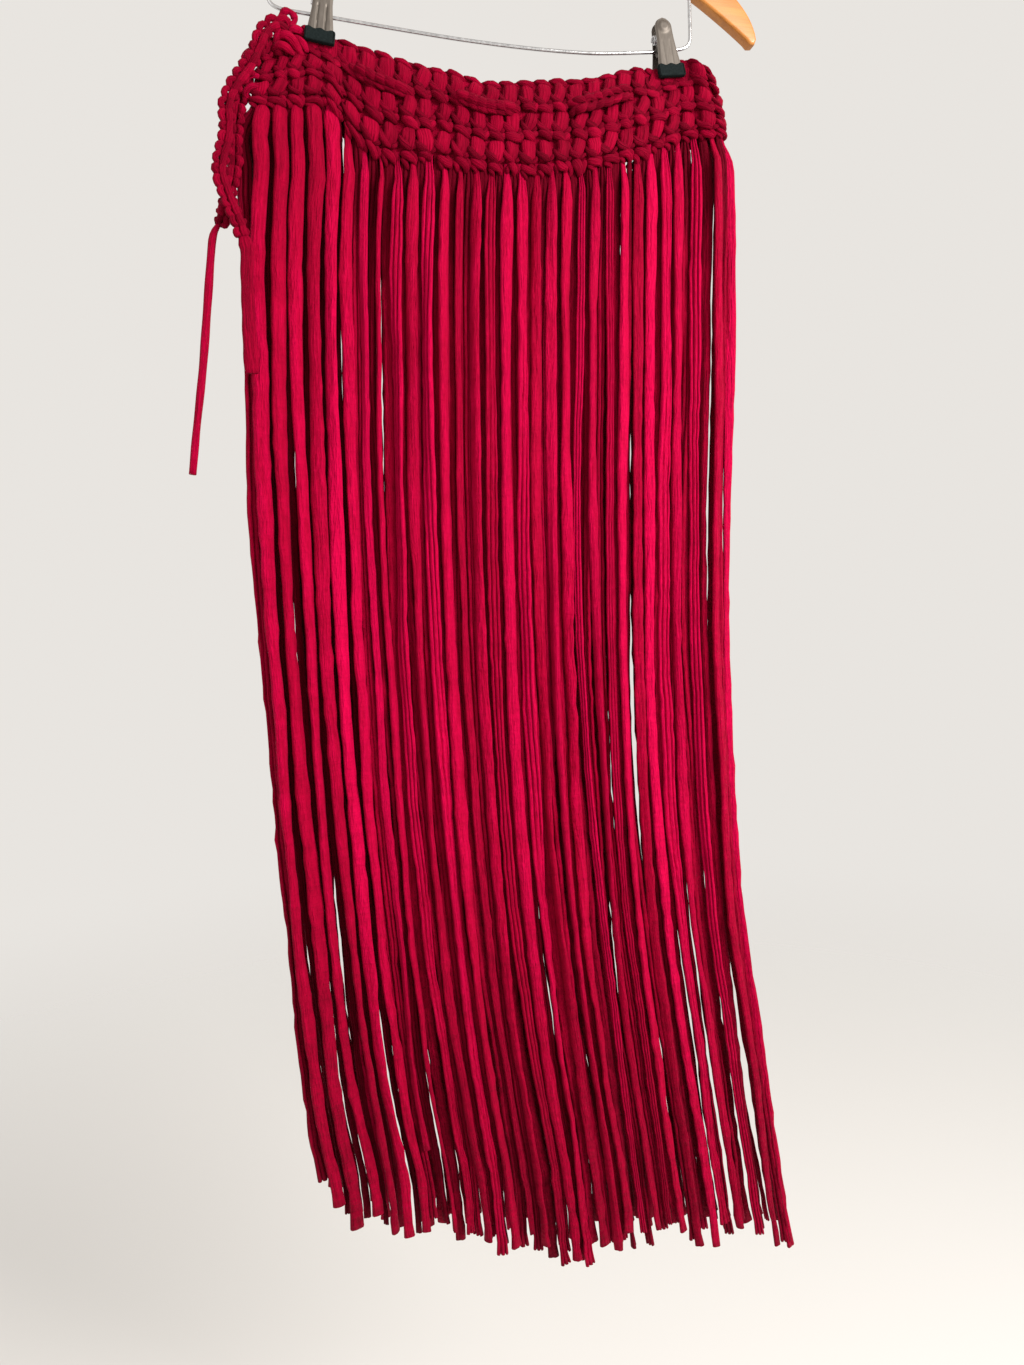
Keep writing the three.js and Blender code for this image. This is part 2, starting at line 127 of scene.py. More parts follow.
class Shader:
    """A new material and the one way to add a node to it."""

    def __init__(self, name, **fixed):
        self.material = bpy.data.materials.new(name)
        self.material.use_nodes = True
        self.tree = self.material.node_tree
        self.base = self.tree.nodes["Principled BSDF"]
        for socket, value in fixed.items():
            self.base.inputs[socket.replace("_", " ")].default_value = value

    def node(self, kind, settings, *values, give=0, **named):
        """Adds a node; values fill its inputs in order or by name, and give is the output it returns."""
        n = self.tree.nodes.new(kind)
        for key, value in settings.items():
            setattr(n, key, value)
        for key, value in [*enumerate(values), *named.items()]:
            socket = n.inputs[key if isinstance(key, int) else key.replace("_", " ")]
            if isinstance(value, Socket):
                self.tree.links.new(value.out, socket)
            else:
                socket.default_value = value
        return Socket(self, n.outputs[give])

    def place(self):
        """Where a point lies on the piece, in metres."""
        return self.node("ShaderNodeTexCoord", {}, give="Object")

    def stretched(self, scale):
        """The same place, scaled along each axis."""
        return self.node("ShaderNodeMapping", {}, Vector=self.place(), Scale=scale)

    def attribute(self, name):
        return self.node("ShaderNodeAttribute", {"attribute_name": name}, give="Fac")

    def noise(self, vector, scale, detail=2.0, roughness=0.5):
        return self.node("ShaderNodeTexNoise", {}, Vector=vector, Scale=scale, Detail=detail,
                         Roughness=roughness)

    def ramp(self, factor, stops):
        """A colour ramp through (place, colour) stops."""
        colours = self.node("ShaderNodeValToRGB", {}, factor)
        elements = colours.out.node.color_ramp.elements
        while len(elements) < len(stops):
            elements.new(0.5)
        for element, (at, colour) in zip(elements, stops):
            element.position = at
            element.color = (*colour, 1)
        return colours

    def feed(self, **links):
        """Links values to the finish's own sockets by name."""
        for name, value in links.items():
            self.tree.links.new(value.out, self.base.inputs[name.replace("_", " ")])

    def bump(self, height, strength, distance):
        self.feed(Normal=self.node("ShaderNodeBump", {}, Strength=strength, Distance=distance, Height=height))


# %% [markdown]
# ## Yarn colour and surface
# T-shirt yarn is a strip of jersey rolled on itself: matt, with fine lengthwise ribs where the knit's
# columns run, and long soft creases and small crimps across. Four attributes that every yarn piece carries
# tell the material where it is: along, the metres from the yarn's start; around, the way round it from 0 to
# 1; run, a number that differs from one run of yarn to the next; and shade, how bright its red is. Dye
# takes a little unevenly, so each run gets its own shade; shade also carries painted shade, set low in the
# band and in the fringe's inner layer, roots and lower half. The colour follows the creases and crimps of
# the relief, with painted shade in their hollows, and crimps deepen towards the strands' cut ends. The
# fibres' own gloss is red too, as dyed cotton has hardly any white shine.

# %% Yarn material
yarn = Shader("crimson_jersey_yarn", Roughness=0.75, Sheen_Weight=0.1, Sheen_Roughness=0.5,
              Specular_IOR_Level=0.14)
yarn.base.inputs["Sheen Tint"].default_value = (1.0, 0.03, 0.12, 1)
yarn.base.inputs["Specular Tint"].default_value = (1.0, 0.12, 0.22, 1)
along = yarn.attribute("along")
around = yarn.attribute("around")
shade = yarn.attribute("shade")
run = yarn.attribute("run")
rolled_out = yarn.node("ShaderNodeCombineXYZ", {}, around * 3.0, along * 16.0, run)
creases = yarn.noise(rolled_out, 2.4, 3.0, 0.6)
ribs = yarn.node("ShaderNodeMath", {"operation": "SINE"}, around * 150.0)
knit = yarn.noise(yarn.place(), 900.0, 2.0, 0.6)
blotch = yarn.noise(yarn.place(), 38.0, 2.0, 0.5)
squeezed = yarn.node("ShaderNodeCombineXYZ", {}, around * 1.5, along * 190.0, run)
crimps = yarn.noise(squeezed, 1.0, 2.0, 0.6)
# painted shade: the crease and crimp noise that raises the relief below also makes the colour darker in its
# hollows and lighter on its ridges
brightness = shade * 0.5 + creases * 0.5 + blotch * 0.2 + (crimps - 0.5) * along * 0.35
yarn.feed(Base_Color=yarn.ramp(brightness, [
    (0.15, (0.09, 0.0002, 0.006)),
    (0.55, (0.27, 0.0004, 0.019)),
    (0.9, (0.47, 0.0008, 0.045)),
]))
relief_height = creases * 1.4 + crimps * (along * 0.7 + 0.3) + ribs * 0.03 + knit * 0.06
yarn.bump(relief_height, 0.85, 0.0034)

# %% [markdown]
# ## Where things lie on the band
# The band hangs from two clips, so it sags between them, steps down sharply beside the left clip, and turns
# round to the back at its right end. Its shape is a handful of smooth curves. A place on it is told by
# three numbers: d, how far along the band; v, from 0 at its top edge to 1 at its bottom; and out, how far
# out from its inside face.

# %% Band's curves
def curve(xs, ys):
    """A smooth curve through the values ys at the rising places xs."""
    xs, ys = np.array(xs, float), np.array(ys, float)
    slope = np.zeros_like(ys)
    slope[1:-1] = (ys[2:] - ys[:-2]) / (xs[2:] - xs[:-2])

    def at(x):
        x = np.clip(x, xs[0], xs[-1])
        i = np.clip(np.searchsorted(xs, x, side="right") - 1, 0, len(xs) - 2)
        width = xs[i + 1] - xs[i]
        t = (x - xs[i]) / width
        rise = t * t * (3 - 2 * t)
        leaving = slope[i] * width * t * (1 - t) * (1 - t)
        arriving = slope[i + 1] * width * t * t * (t - 1)
        return ys[i] * (1 - rise) + ys[i + 1] * rise + leaving + arriving
    return at


def curves(rows):
    """One curve for each later column of a table, against its first column."""
    first, *rest = np.array(rows, float).T
    return [curve(first, column) for column in rest]


def smooth(t):
    """0 below 0, 1 above 1, and an easy slope between."""
    t = np.clip(t, 0, 1)
    return t * t * (3 - 2 * t)


BAND_L, TURN_X = -192.0, 186.0  # where along the bar the band starts, and where it turns to the back
TURN_R, TURN_REACH = 7.0, 16.0  # the turn's inside radius, and how far past TURN_X its edges are read
WALL, STITCH = 7.0, 3.5  # the band's thickness, and how far the stitches stand out of it
STITCHES = 56  # in a round
CLIPS = {"l": (-134.0, 8.0), "r": (151.5, -7.0)}  # place on the bar, lean in degrees
FLAT, TURN = TURN_X - BAND_L, math.pi * (TURN_R + WALL / 2)
ROUND = 2 * FLAT + TURN
PITCH = ROUND / STITCHES
BAND_H = 67.0  # the band's depth when it is laid flat
# how much further than the tables say the inside face stands off the middle: everywhere, and at its foot
OPEN, FOOT_OPEN = 0.6, 4.6

# x along the bar, the top and bottom edges, and how far the inside face stands off the middle
front_top, front_bottom, front_open = curves([
    (-192, -32, -79, 3), (-178, -26, -77.1, 2.2), (-166, -21, -74.9, 1.2), (-157, -19.5, -73.9, 0.4),
    (-149, -15.5, -73.2, 0), (-140, -19, -71.6, -0.2), (-132, -20.5, -74.7, -0.2), (-124, -22, -83.5, -0.1),
    (-116, -24.8, -93.2, 0.2), (-107, -28.2, -101.8, 0.8), (-96, -31.4, -108.7, 1.9),
    (-84, -34.8, -111.5, 3.3), (-70, -38.8, -112.6, 4.5), (-50, -42, -113.2, 5.4), (-30, -45, -115.4, 6.1),
    (-12, -49.5, -116.9, 6.4), (2, -50.1, -117.2, 6.5), (19, -48.2, -116.5, 6.3), (39, -45.2, -114.7, 5.8),
    (60, -43, -111.9, 4.9), (80, -39.4, -107.7, 3.9), (101, -33.8, -101.2, 2.4), (112, -29.3, -98.1, 1.6),
    (122, -26.7, -95.3, 0.9), (133, -25, -91.3, 0.2), (145, -23, -85.3, -0.2), (155, -19, -81.2, -0.4),
    (165, -15, -77.8, -0.1), (176, -16, -75.9, 2.7), (186, -19.5, -75.5, 6.4), (205, -25, -75, 6.4),
])
back_top, back_bottom, back_open = curves([
    (-192, -32, -80, 3), (-175, -27.6, -79.3, 2), (-150, -19, -80, 0), (-120, -27, -92, 0),
    (-95, -34.2, -100.1, 2), (-70, -40.1, -106.1, 4), (-30, -47, -112, 5.9), (10, -50, -113.4, 6.5),
    (60, -44, -108.6, 5), (90, -36.5, -103.1, 3.3), (110, -31, -98, 1.8), (130, -26.1, -91.4, 0.4),
    (150, -21, -84, -0.4), (165, -16, -77.9, -0.1), (176, -16, -75.9, 2.7), (186, -19.5, -75.5, 6.4),
    (205, -25, -75, 6.4),
])


PAD_SHIFT = 3  # a leaning clip's pads press this far to one side of its place on the bar
PRESSED, EASED = 15, 14  # half the width that is pressed flat, and how far beyond it the press eases off
WALL_LOSS, STITCH_LOSS = 2.6, 2.4  # what the wall and the stitches lose in thickness under the pads


def pinch(x, v):
    """How hard the clips press here, from 0 to 1."""
    off = [np.abs(x - at + math.copysign(PAD_SHIFT, tilt)) for at, tilt in CLIPS.values()]
    near = [1 - smooth((distance - PRESSED) / EASED) for distance in off]
    return np.maximum(*near) * (1 - smooth((v - 0.22) / 0.3))


def place(d, v, out):
    """Points in metres for places on the band, and the way out there."""
    d, v, out = (np.asarray(a, float) for a in np.broadcast_arrays(d, v, out))
    turn = np.clip((d - FLAT) / TURN, 0, 1)
    turning = (turn > 0) & (turn < 1)
    angle = (turn - 0.5) * math.pi
    x = np.where(turn == 0, BAND_L + d, TURN_X - (d - FLAT - TURN))
    x = np.where(turning, TURN_X + TURN_REACH * np.cos(angle), x)
    opening = np.where(turn == 0, front_open(x), back_open(x))
    inside = OPEN + opening + FOOT_OPEN * v * smooth((TURN_X - x) / 40)
    nx = np.where(turning, np.cos(angle), 0.0)
    ny = np.where(turning, np.sin(angle), np.where(turn == 0, -1.0, 1.0))
    cx = np.where(turning, TURN_X + TURN_R * nx, x)
    cy = ny * np.where(turning, TURN_R, inside)
    press = np.where(turning, 0.0, pinch(x, v))
    thick = np.clip(out, None, WALL) * (1 - WALL_LOSS / WALL * press)
    thick = thick + np.clip(out - WALL, 0, None) * (1 - STITCH_LOSS / STITCH * press)
    top = front_top(x) * (1 - turn) + back_top(x) * turn
    bottom = front_bottom(x) * (1 - turn) + back_bottom(x) * turn
    # the open end leans in at its top, and the turn leans in at its top and out at its foot
    lean = 11 * (1 - v) * smooth((-150 - x) / 42) + (12.5 * v - 8) * smooth((x - 160) / 26)
    z = top + (bottom - top) * v - HANG_Z
    points = np.stack([cx + nx * thick + lean, cy + ny * thick, z], -1) * MM
    return points, np.stack([nx, ny, 0 * nx], -1)


print("band", round(ROUND), "mm round,", STITCHES, "stitches of", round(PITCH, 1), "mm")

# %% [markdown]
# ## Sweeping yarn along a path
# A run of yarn is a round or flattened section swept along a path. Blender's own curve object does this:
# the path is a spline, each point has a radius and a twist, and the section is its bevel shape. The swept
# curve is then turned into a mesh, its open ends are filled, and the four yarn attributes are written on
# it, ring by ring.

# %% Sweep helper
def section(name, points):
    """A closed outline that yarn is swept with, one unit to the run's radius of 1 mm."""
    data = bpy.data.curves.new(name, "CURVE")
    data.dimensions = "2D"
    spline = data.splines.new("POLY")
    spline.points.add(len(points) - 1)
    for p, (x, y) in zip(spline.points, points):
        p.co = (x * MM, y * MM, 0, 1)
    spline.use_cyclic_u = True
    made = bpy.data.objects.new(name, data)
    bpy.context.scene.collection.objects.link(made)
    return made


def sweep(name, runs, outline, closed=False):
    """A mesh of yarn runs; each run is (points in metres, radii, twists, shade)."""
    data = bpy.data.curves.new(name, "CURVE")
    data.dimensions = "3D"
    data.fill_mode = "FULL"
    data.twist_mode = "MINIMUM"
    data.bevel_mode = "OBJECT"
    data.bevel_object = outline
    for points, radii, twists, _ in runs:
        count = len(points)
        spline = data.splines.new("POLY")
        spline.points.add(count - 1)
        spline.points.foreach_set("co", np.c_[points, np.ones(count)].ravel())
        spline.points.foreach_set("radius", np.full(count, 1.0) * radii)
        spline.points.foreach_set("tilt", np.full(count, 1.0) * twists)
        spline.use_cyclic_u = closed
    holder = bpy.data.objects.new(name, data)
    bpy.context.scene.collection.objects.link(holder)
    bpy.context.view_layer.update()
    mesh = bpy.data.meshes.new_from_object(holder.evaluated_get(bpy.context.evaluated_depsgraph_get()))
    bpy.data.objects.remove(holder)
    sides = len(outline.data.splines[0].points)
    lengths = [np.linalg.norm(np.diff(points, axis=0), axis=1) for points, *_ in runs]
    written = {
        "along": np.concatenate([np.repeat(np.r_[0, np.cumsum(steps)], sides) for steps in lengths]),
        "around": np.tile(np.abs(np.linspace(-1, 1, sides, endpoint=False)), sum(len(r[0]) for r in runs)),
        "shade": np.concatenate([np.repeat(np.full(len(r[0]), 1.0) * r[3], sides) for r in runs]),
        "run": np.repeat([np.mean(r[3]) * 40 for r in runs], [len(r[0]) * sides for r in runs]),
    }
    for key, values in written.items():
        mesh.attributes.new(key, "FLOAT", "POINT").data.foreach_set("value", values.astype(np.float32))
    bm = bmesh.new()
    bm.from_mesh(mesh)
    bmesh.ops.holes_fill(bm, edges=bm.edges[:], sides=0)
    bmesh.ops.recalc_face_normals(bm, faces=bm.faces)
    bm.to_mesh(mesh)
    bm.free()
    mesh.shade_smooth()
    return mesh


def piece(name, mesh, finish, slot, *nodes):
    """Puts a mesh in the scene as a piece that rides on the object and stands for its CAD nodes."""
    made = bpy.data.objects.new(name, mesh)
    bpy.context.scene.collection.objects.link(made)
    mesh.materials.clear()
    mesh.materials.append(finish.material)
    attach(made, "root")
    if nodes:
        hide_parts(*nodes)
    print(name, len(mesh.vertices), "points")
    return made


def merge(meshes):
    """One mesh from several, keeping their attributes."""
    bm = bmesh.new()
    for m in meshes:
        bm.from_mesh(m)
    whole = bpy.data.meshes.new("merged")
    bm.to_mesh(whole)
    bm.free()
    whole.shade_smooth()
    return whole


def path(points, count):
    """Evenly spaced points on a smooth curve through the given ones."""
    points = np.array(points, float)
    steps = np.r_[0, np.cumsum(np.linalg.norm(np.diff(points, axis=0), axis=1))]
    at = np.linspace(0, steps[-1], 400)
    dense = np.stack([curve(steps, points[:, k])(at) for k in range(3)], -1)
    run = np.r_[0, np.cumsum(np.linalg.norm(np.diff(dense, axis=0), axis=1))]
    even = np.linspace(0, run[-1], count)
    return np.stack([np.interp(even, run, dense[:, k]) for k in range(3)], -1)


def ring(n, rx, ry, dent=0.0, at=math.pi / 2, wide=0.6, square=2):
    """An oval outline, dented where the jersey's edge closes on it; a square over 2 fills its corners."""
    t = np.arange(n) * 2 * math.pi / n
    gap = np.abs((t - at + math.pi) % (2 * math.pi) - math.pi)
    r = 1 - dent * np.exp(-(gap / wide) ** 2)
    r = r / (np.abs(np.cos(t)) ** square + np.abs(np.sin(t)) ** square) ** (1 / square)
    return list(zip(rx * r * np.cos(t), ry * r * np.sin(t)))


round_section = section("round_section", ring(10, 1, 1))
pad_section = section("pad_section", ring(16, 1, 0.6, square=2.7))

# %% [markdown]
# ## The band's core
# Behind the stitches lies the band's thickness. It is a flat strip that bmesh makes as a grid and extrudes,
# then each of its points is carried to its place on the hanging band.

# %% Band core
bm = bmesh.new()
bmesh.ops.create_grid(bm, x_segments=372, y_segments=20, size=0.5)
grown = bmesh.ops.extrude_face_region(bm, geom=bm.faces[:])
bmesh.ops.translate(bm, vec=(0, 0, 1), verts=[g for g in grown["geom"] if isinstance(g, bmesh.types.BMVert)])
bmesh.ops.recalc_face_normals(bm, faces=bm.faces)
core = bpy.data.meshes.new("band_core")
bm.to_mesh(core)
bm.free()
flat = np.zeros(len(core.vertices) * 3)
core.vertices.foreach_get("co", flat)
flat = flat.reshape(-1, 3)
d, v = (flat[:, 0] + 0.5) * ROUND, 0.5 - flat[:, 1]
lumps = np.abs(np.sin(math.pi * d / PITCH)) * np.abs(np.sin(math.pi * v / 0.33))
edge = smooth(np.minimum(v, 1 - v) / 0.05)
out = np.where(flat[:, 2] > 0.5, 3.4 + edge * (1.4 + 1.2 * lumps), 3.0 - edge * (1.4 + 1.6 * lumps))
core.vertices.foreach_set("co", place(d, 0.012 + 0.976 * v, out)[0].ravel())
# the core's shade is set near the bottom of the ramp: painted shade where it shows in the gaps between the
# stitches
for key, values in (("along", d * MM * 3), ("around", v * 3), ("shade", 0 * d + 0.05), ("run", 0 * d)):
    core.attributes.new(key, "FLOAT", "POINT").data.foreach_set("value", values.astype(np.float32))
core.update()
core.shade_smooth()
band = piece("band_core", core, yarn, "yarn", "band")

# %% [markdown]
# ## One crochet stitch
# A stitch in thick jersey shows as a plump, nearly square post that slants a little, a fold tucked under
# its lower left side, a small foot, and two loops that cross in the chain below. Each is a short fat sweep
# in a flat cell: x along the row, y up it, z out of the cloth, in millimetres. Cells that differ a little
# keep the rows from looking stamped.

# %% Stitch cells
# a run's tone is drawn at random from a range; the default range is set low, partly as painted shade for the
# band's crevices
def run_of(points, radii, count=11, shake=0.25, tone=(-0.2, 0.3)):
    """One yarn run of a cell: control points shaken a little, and radii spread evenly along it."""
    points = np.array(points) + rng.normal(0, shake, (len(points), 3))
    spread = np.interp(np.linspace(0, 1, count), np.linspace(0, 1, len(radii)), radii)
    return path(points, count) * MM, spread * rng.normal(1, 0.04), rng.uniform(-3, 3), rng.uniform(*tone)


def bar_runs(y, r):
    """The two loops that cross in the chain between rows, about height y."""
    falling = [(-6.0, y + 2.6, -2.8), (-3.4, y + 1.5, 1.6), (0.4, y - 0.2, 2.8), (3.8, y - 1.6, 1.2),
               (5.8, y - 2.6, -3.0)]
    rising = [(0.4, y - 2.8, -2.4), (2.6, y - 1.2, 0.8), (5.2, y + 0.9, 1.4), (7.4, y + 2.4, -2.6)]
    return [
        run_of(falling, [0.5 * r, r, 1.15 * r, r, 0.5 * r], 11, 0.35),
        run_of(rising, [0.5 * r, 0.95 * r, r, 0.5 * r], 9, 0.35),
    ]


# both ranges are set low as painted shade for the band's crevices, and the tucked runs' range lower still, as
# painted shade where they lie under the post
POST_TONE, TUCKED_SHADED_TONE = (-0.15, 0.3), (-0.3, 0.1)  # the shades that a post and its tucked runs may have


def stitch_cell(bar=True):
    """A post with its fold and foot, and with the crossing loops below it if bar is true."""
    lean, high, twist = rng.uniform(0.0, 1.3), rng.uniform(0.6, 1.4), rng.normal(0, 0.2)
    post = [(-lean, -7.0, -5.4), (-lean, -4.6, 0.2), (0.3, 0, high + 0.6), (lean, 4.6, 0.2),
            (lean, 6.2, -5.4)]
    points, radii, _, tone = run_of(post, [5.0, 5.7, 5.8, 5.6, 5.0], 17, 0.2, POST_TONE)
    fold = [(-7.2, 2.4, -2.8), (-6.9, -1.4, 0.8), (-5.2, -4.6, 3.2), (-1.6, -6.8, 3.0), (2.2, -7.8, -1.4)]
    foot = [(1.8, -8.2, -1.8), (4.2, -7.2, 1.0), (6.4, -5.2, 0.8), (7.2, -2.6, -2.6)]
    runs = [
        run_of(fold, [1.1, 2.1, 2.6, 2.5, 1.2], 12, 0.35, TUCKED_SHADED_TONE),
        run_of(foot, [1.0, 2.0, 2.0, 1.0], 9, 0.35, TUCKED_SHADED_TONE),
    ]
    if bar:
        runs += bar_runs(-11.0, 3.2)
    plump = sweep("post", [(points, radii, twist, tone)], pad_section)
    return merge([plump, sweep("folds", runs, round_section)])


cells = [stitch_cell() for _ in range(8)]
end_cells = [stitch_cell(False) for _ in range(8)]
print("stitch cell", len(cells[0].vertices), "points")

# %% [markdown]
# ## The rows of stitches
# The cells are gathered into one mesh, one copy for each stitch of each row, and their points are carried
# from the flat cell to the hanging band, so the stitches lean, sag and turn with it.

# %% Lay cells on the band
def crumple(mesh, size=0.0008):
    """Pushes a mesh's points in and out by two scales of smooth noise, as jersey is never quite round."""
    count = len(mesh.vertices)
    co, out_ = np.zeros(count * 3), np.zeros(count * 3)
    mesh.vertices.foreach_get("co", co)
    mesh.vertices.foreach_get("normal", out_)
    co = co.reshape(-1, 3)
    waves = [noise.noise(Vector(p) * 130) + 0.6 * noise.noise(Vector(p) * 290) for p in co]
    mesh.vertices.foreach_set("co", (co + out_.reshape(-1, 3) * (np.array(waves) * size)[:, None]).ravel())
    mesh.update()
    return mesh


SUNK = 0.4  # how far a cell's flat level is set into the band's wall


def lay(choices, places, flatten=0.75, lift=0.0):
    """Copies of cells picked from choices and carried to the band, one for each (d, v, slant, size)."""
    used = [choices[k] for k in rng.integers(len(choices), size=len(places))]
    whole = merge(used)
    co = np.zeros(len(whole.vertices) * 3)
    whole.vertices.foreach_get("co", co)
    x, y, z = co.reshape(-1, 3).T / MM
    which = np.repeat(np.arange(len(used)), [len(c.vertices) for c in used])
    at_d, at_v, slant, size = np.array(places, float).T[:, which]
    v_ = at_v - (y * size - slant * x * 0.6) / BAND_H
    moved, _ = place(at_d + x * size + slant * y, v_, WALL - SUNK + lift + z * flatten)
    whole.vertices.foreach_set("co", moved.ravel())
    whole.update()
    return crumple(whole)


def row_of(v_, shift, d_shake=0.5, v_shake=0.006, slant_shake=0.08, size=1.0, size_shake=0.05):
    """Places for one cell to each stitch round the band."""
    count = STITCHES
    return np.stack([(np.arange(count) + shift) * PITCH + rng.normal(0, d_shake, count),
                     v_ + rng.normal(0, v_shake, count), rng.normal(0.06, slant_shake, count),
                     rng.normal(size, size_shake, count)], -1)


first_row = piece("band_first_row", lay(cells, row_of(0.16, 0.5)), yarn, "yarn")
second_row = piece("band_second_row", lay(cells, row_of(0.485, 0.62)), yarn, "yarn")
last_row = piece("band_last_row", lay(end_cells, row_of(0.82, 0.5)), yarn, "yarn")

# %% [markdown]
# ## Chain edge
# The top edge is a chain: overlapping ovals that lie along it like a thin rope. A second row of ovals
# finishes its inside.

# %% Chain edge
def oval(length, r, rise):
    """One long loop of an edge chain."""
    points = [(-length * 0.62, rise, -2.4), (-length * 0.36, rise * 0.5, 0.6), (0, 0, 1.4),
              (length * 0.36, -rise * 0.6, 0.5), (length * 0.62, -rise, -2.4)]
    return sweep("oval", [run_of(points, [r * 0.4, r * 0.88, r, r * 0.88, r * 0.4])], round_section)


ovals = [oval(12.0, rng.uniform(2.3, 2.7), rng.uniform(0.8, 2.0)) for _ in range(6)]
top_chain = piece("band_top_chain", lay(ovals, row_of(0.026, 0.5), 0.85, -1.2), yarn, "yarn")
inner_chain = piece("band_inner_chain", lay(ovals, row_of(0.03, 0.2), 0.9, -4.8), yarn, "yarn")

# %% [markdown]
# ## The fringe
# Each stitch carries about two strands. A strand starts narrow at its knot, fills out to its full width
# within four centimetres, and hangs nearly straight, with small wanderings and slow twists. Every third one
# is rolled, with the groove where the jersey's edge closes. The others are flattened, with two sharp
# creases on one side: most turn that side outwards, and the wide ones at the left and every fourth turn it
# in. Two layers in depth let neighbours overlap. The hem is uneven, as cut yarn is.

# %% Strands
left_edge, right_edge = curves([
    (-1110, -174, 260), (-1038, -174.7, 250), (-966, -177.5, 239.3), (-924, -183.6, 233.6),
    (-850, -192.2, 224.2), (-767, -196.8, 213.3), (-685, -201.1, 207.1), (-606, -204.1, 203.7),
    (-515, -206.2, 201.8), (-430, -207.5, 203.1), (-355, -207.3, 205.1), (-280, -206, 208),
    (-203, -203.1, 210), (-150, -199, 211.4), (-127, -195.9, 211.5), (-95, -191.7, 209), (-76, -191, 203),
])
hem, = curves([
    (0, -955), (0.04, -982), (0.09, -998), (0.15, -1006), (0.22, -1012), (0.3, -1032), (0.39, -1038),
    (0.46, -1052), (0.54, -1056), (0.65, -1053), (0.74, -1058), (0.84, -1066), (0.92, -1070), (1, -1088),
])
STRANDS = 62  # on each side
# the narrow strands' darkness at the left is painted shade, as in the gaps between the wide ones
LEFT_SHARE = 0.17  # left of this share of the skirt, wide strands hang over narrow dark ones
LAYER, LEFT_LAYER = 3.15, 4.2  # how far a layer stands off the middle, and the inner one at the left
HEM_SCATTER = 13  # the cut ends lie this far above or below the hem's line, in millimetres
SHORT_STRAND, SHORT_BY = 13, 82  # the one that was cut short, and by how much
FREE_Z = -127  # above this height the strands don't spread
soft_section = section("soft_section", [
    (1.0, 0.0), (0.9, 0.34), (0.66, 0.5), (0.43, 0.38), (0.33, -0.04), (0.23, 0.34), (0.05, 0.5),
    (-0.2, 0.54), (-0.36, 0.38), (-0.45, -0.04), (-0.54, 0.32), (-0.74, 0.46), (-0.93, 0.28), (-1.0, -0.06),
    (-0.8, -0.36), (-0.3, -0.46), (0.3, -0.4), (0.8, -0.3),
])
rolled_section = section("rolled_section", ring(14, 1, 0.6, 0.42, 1.2, 0.4))


def strand_x(z, share):
    """A strand's centre across the skirt at height z; share is 0 at the left edge and 1 at the right."""
    return left_edge(z) + 4 + (right_edge(z) - left_edge(z) - 8) * share


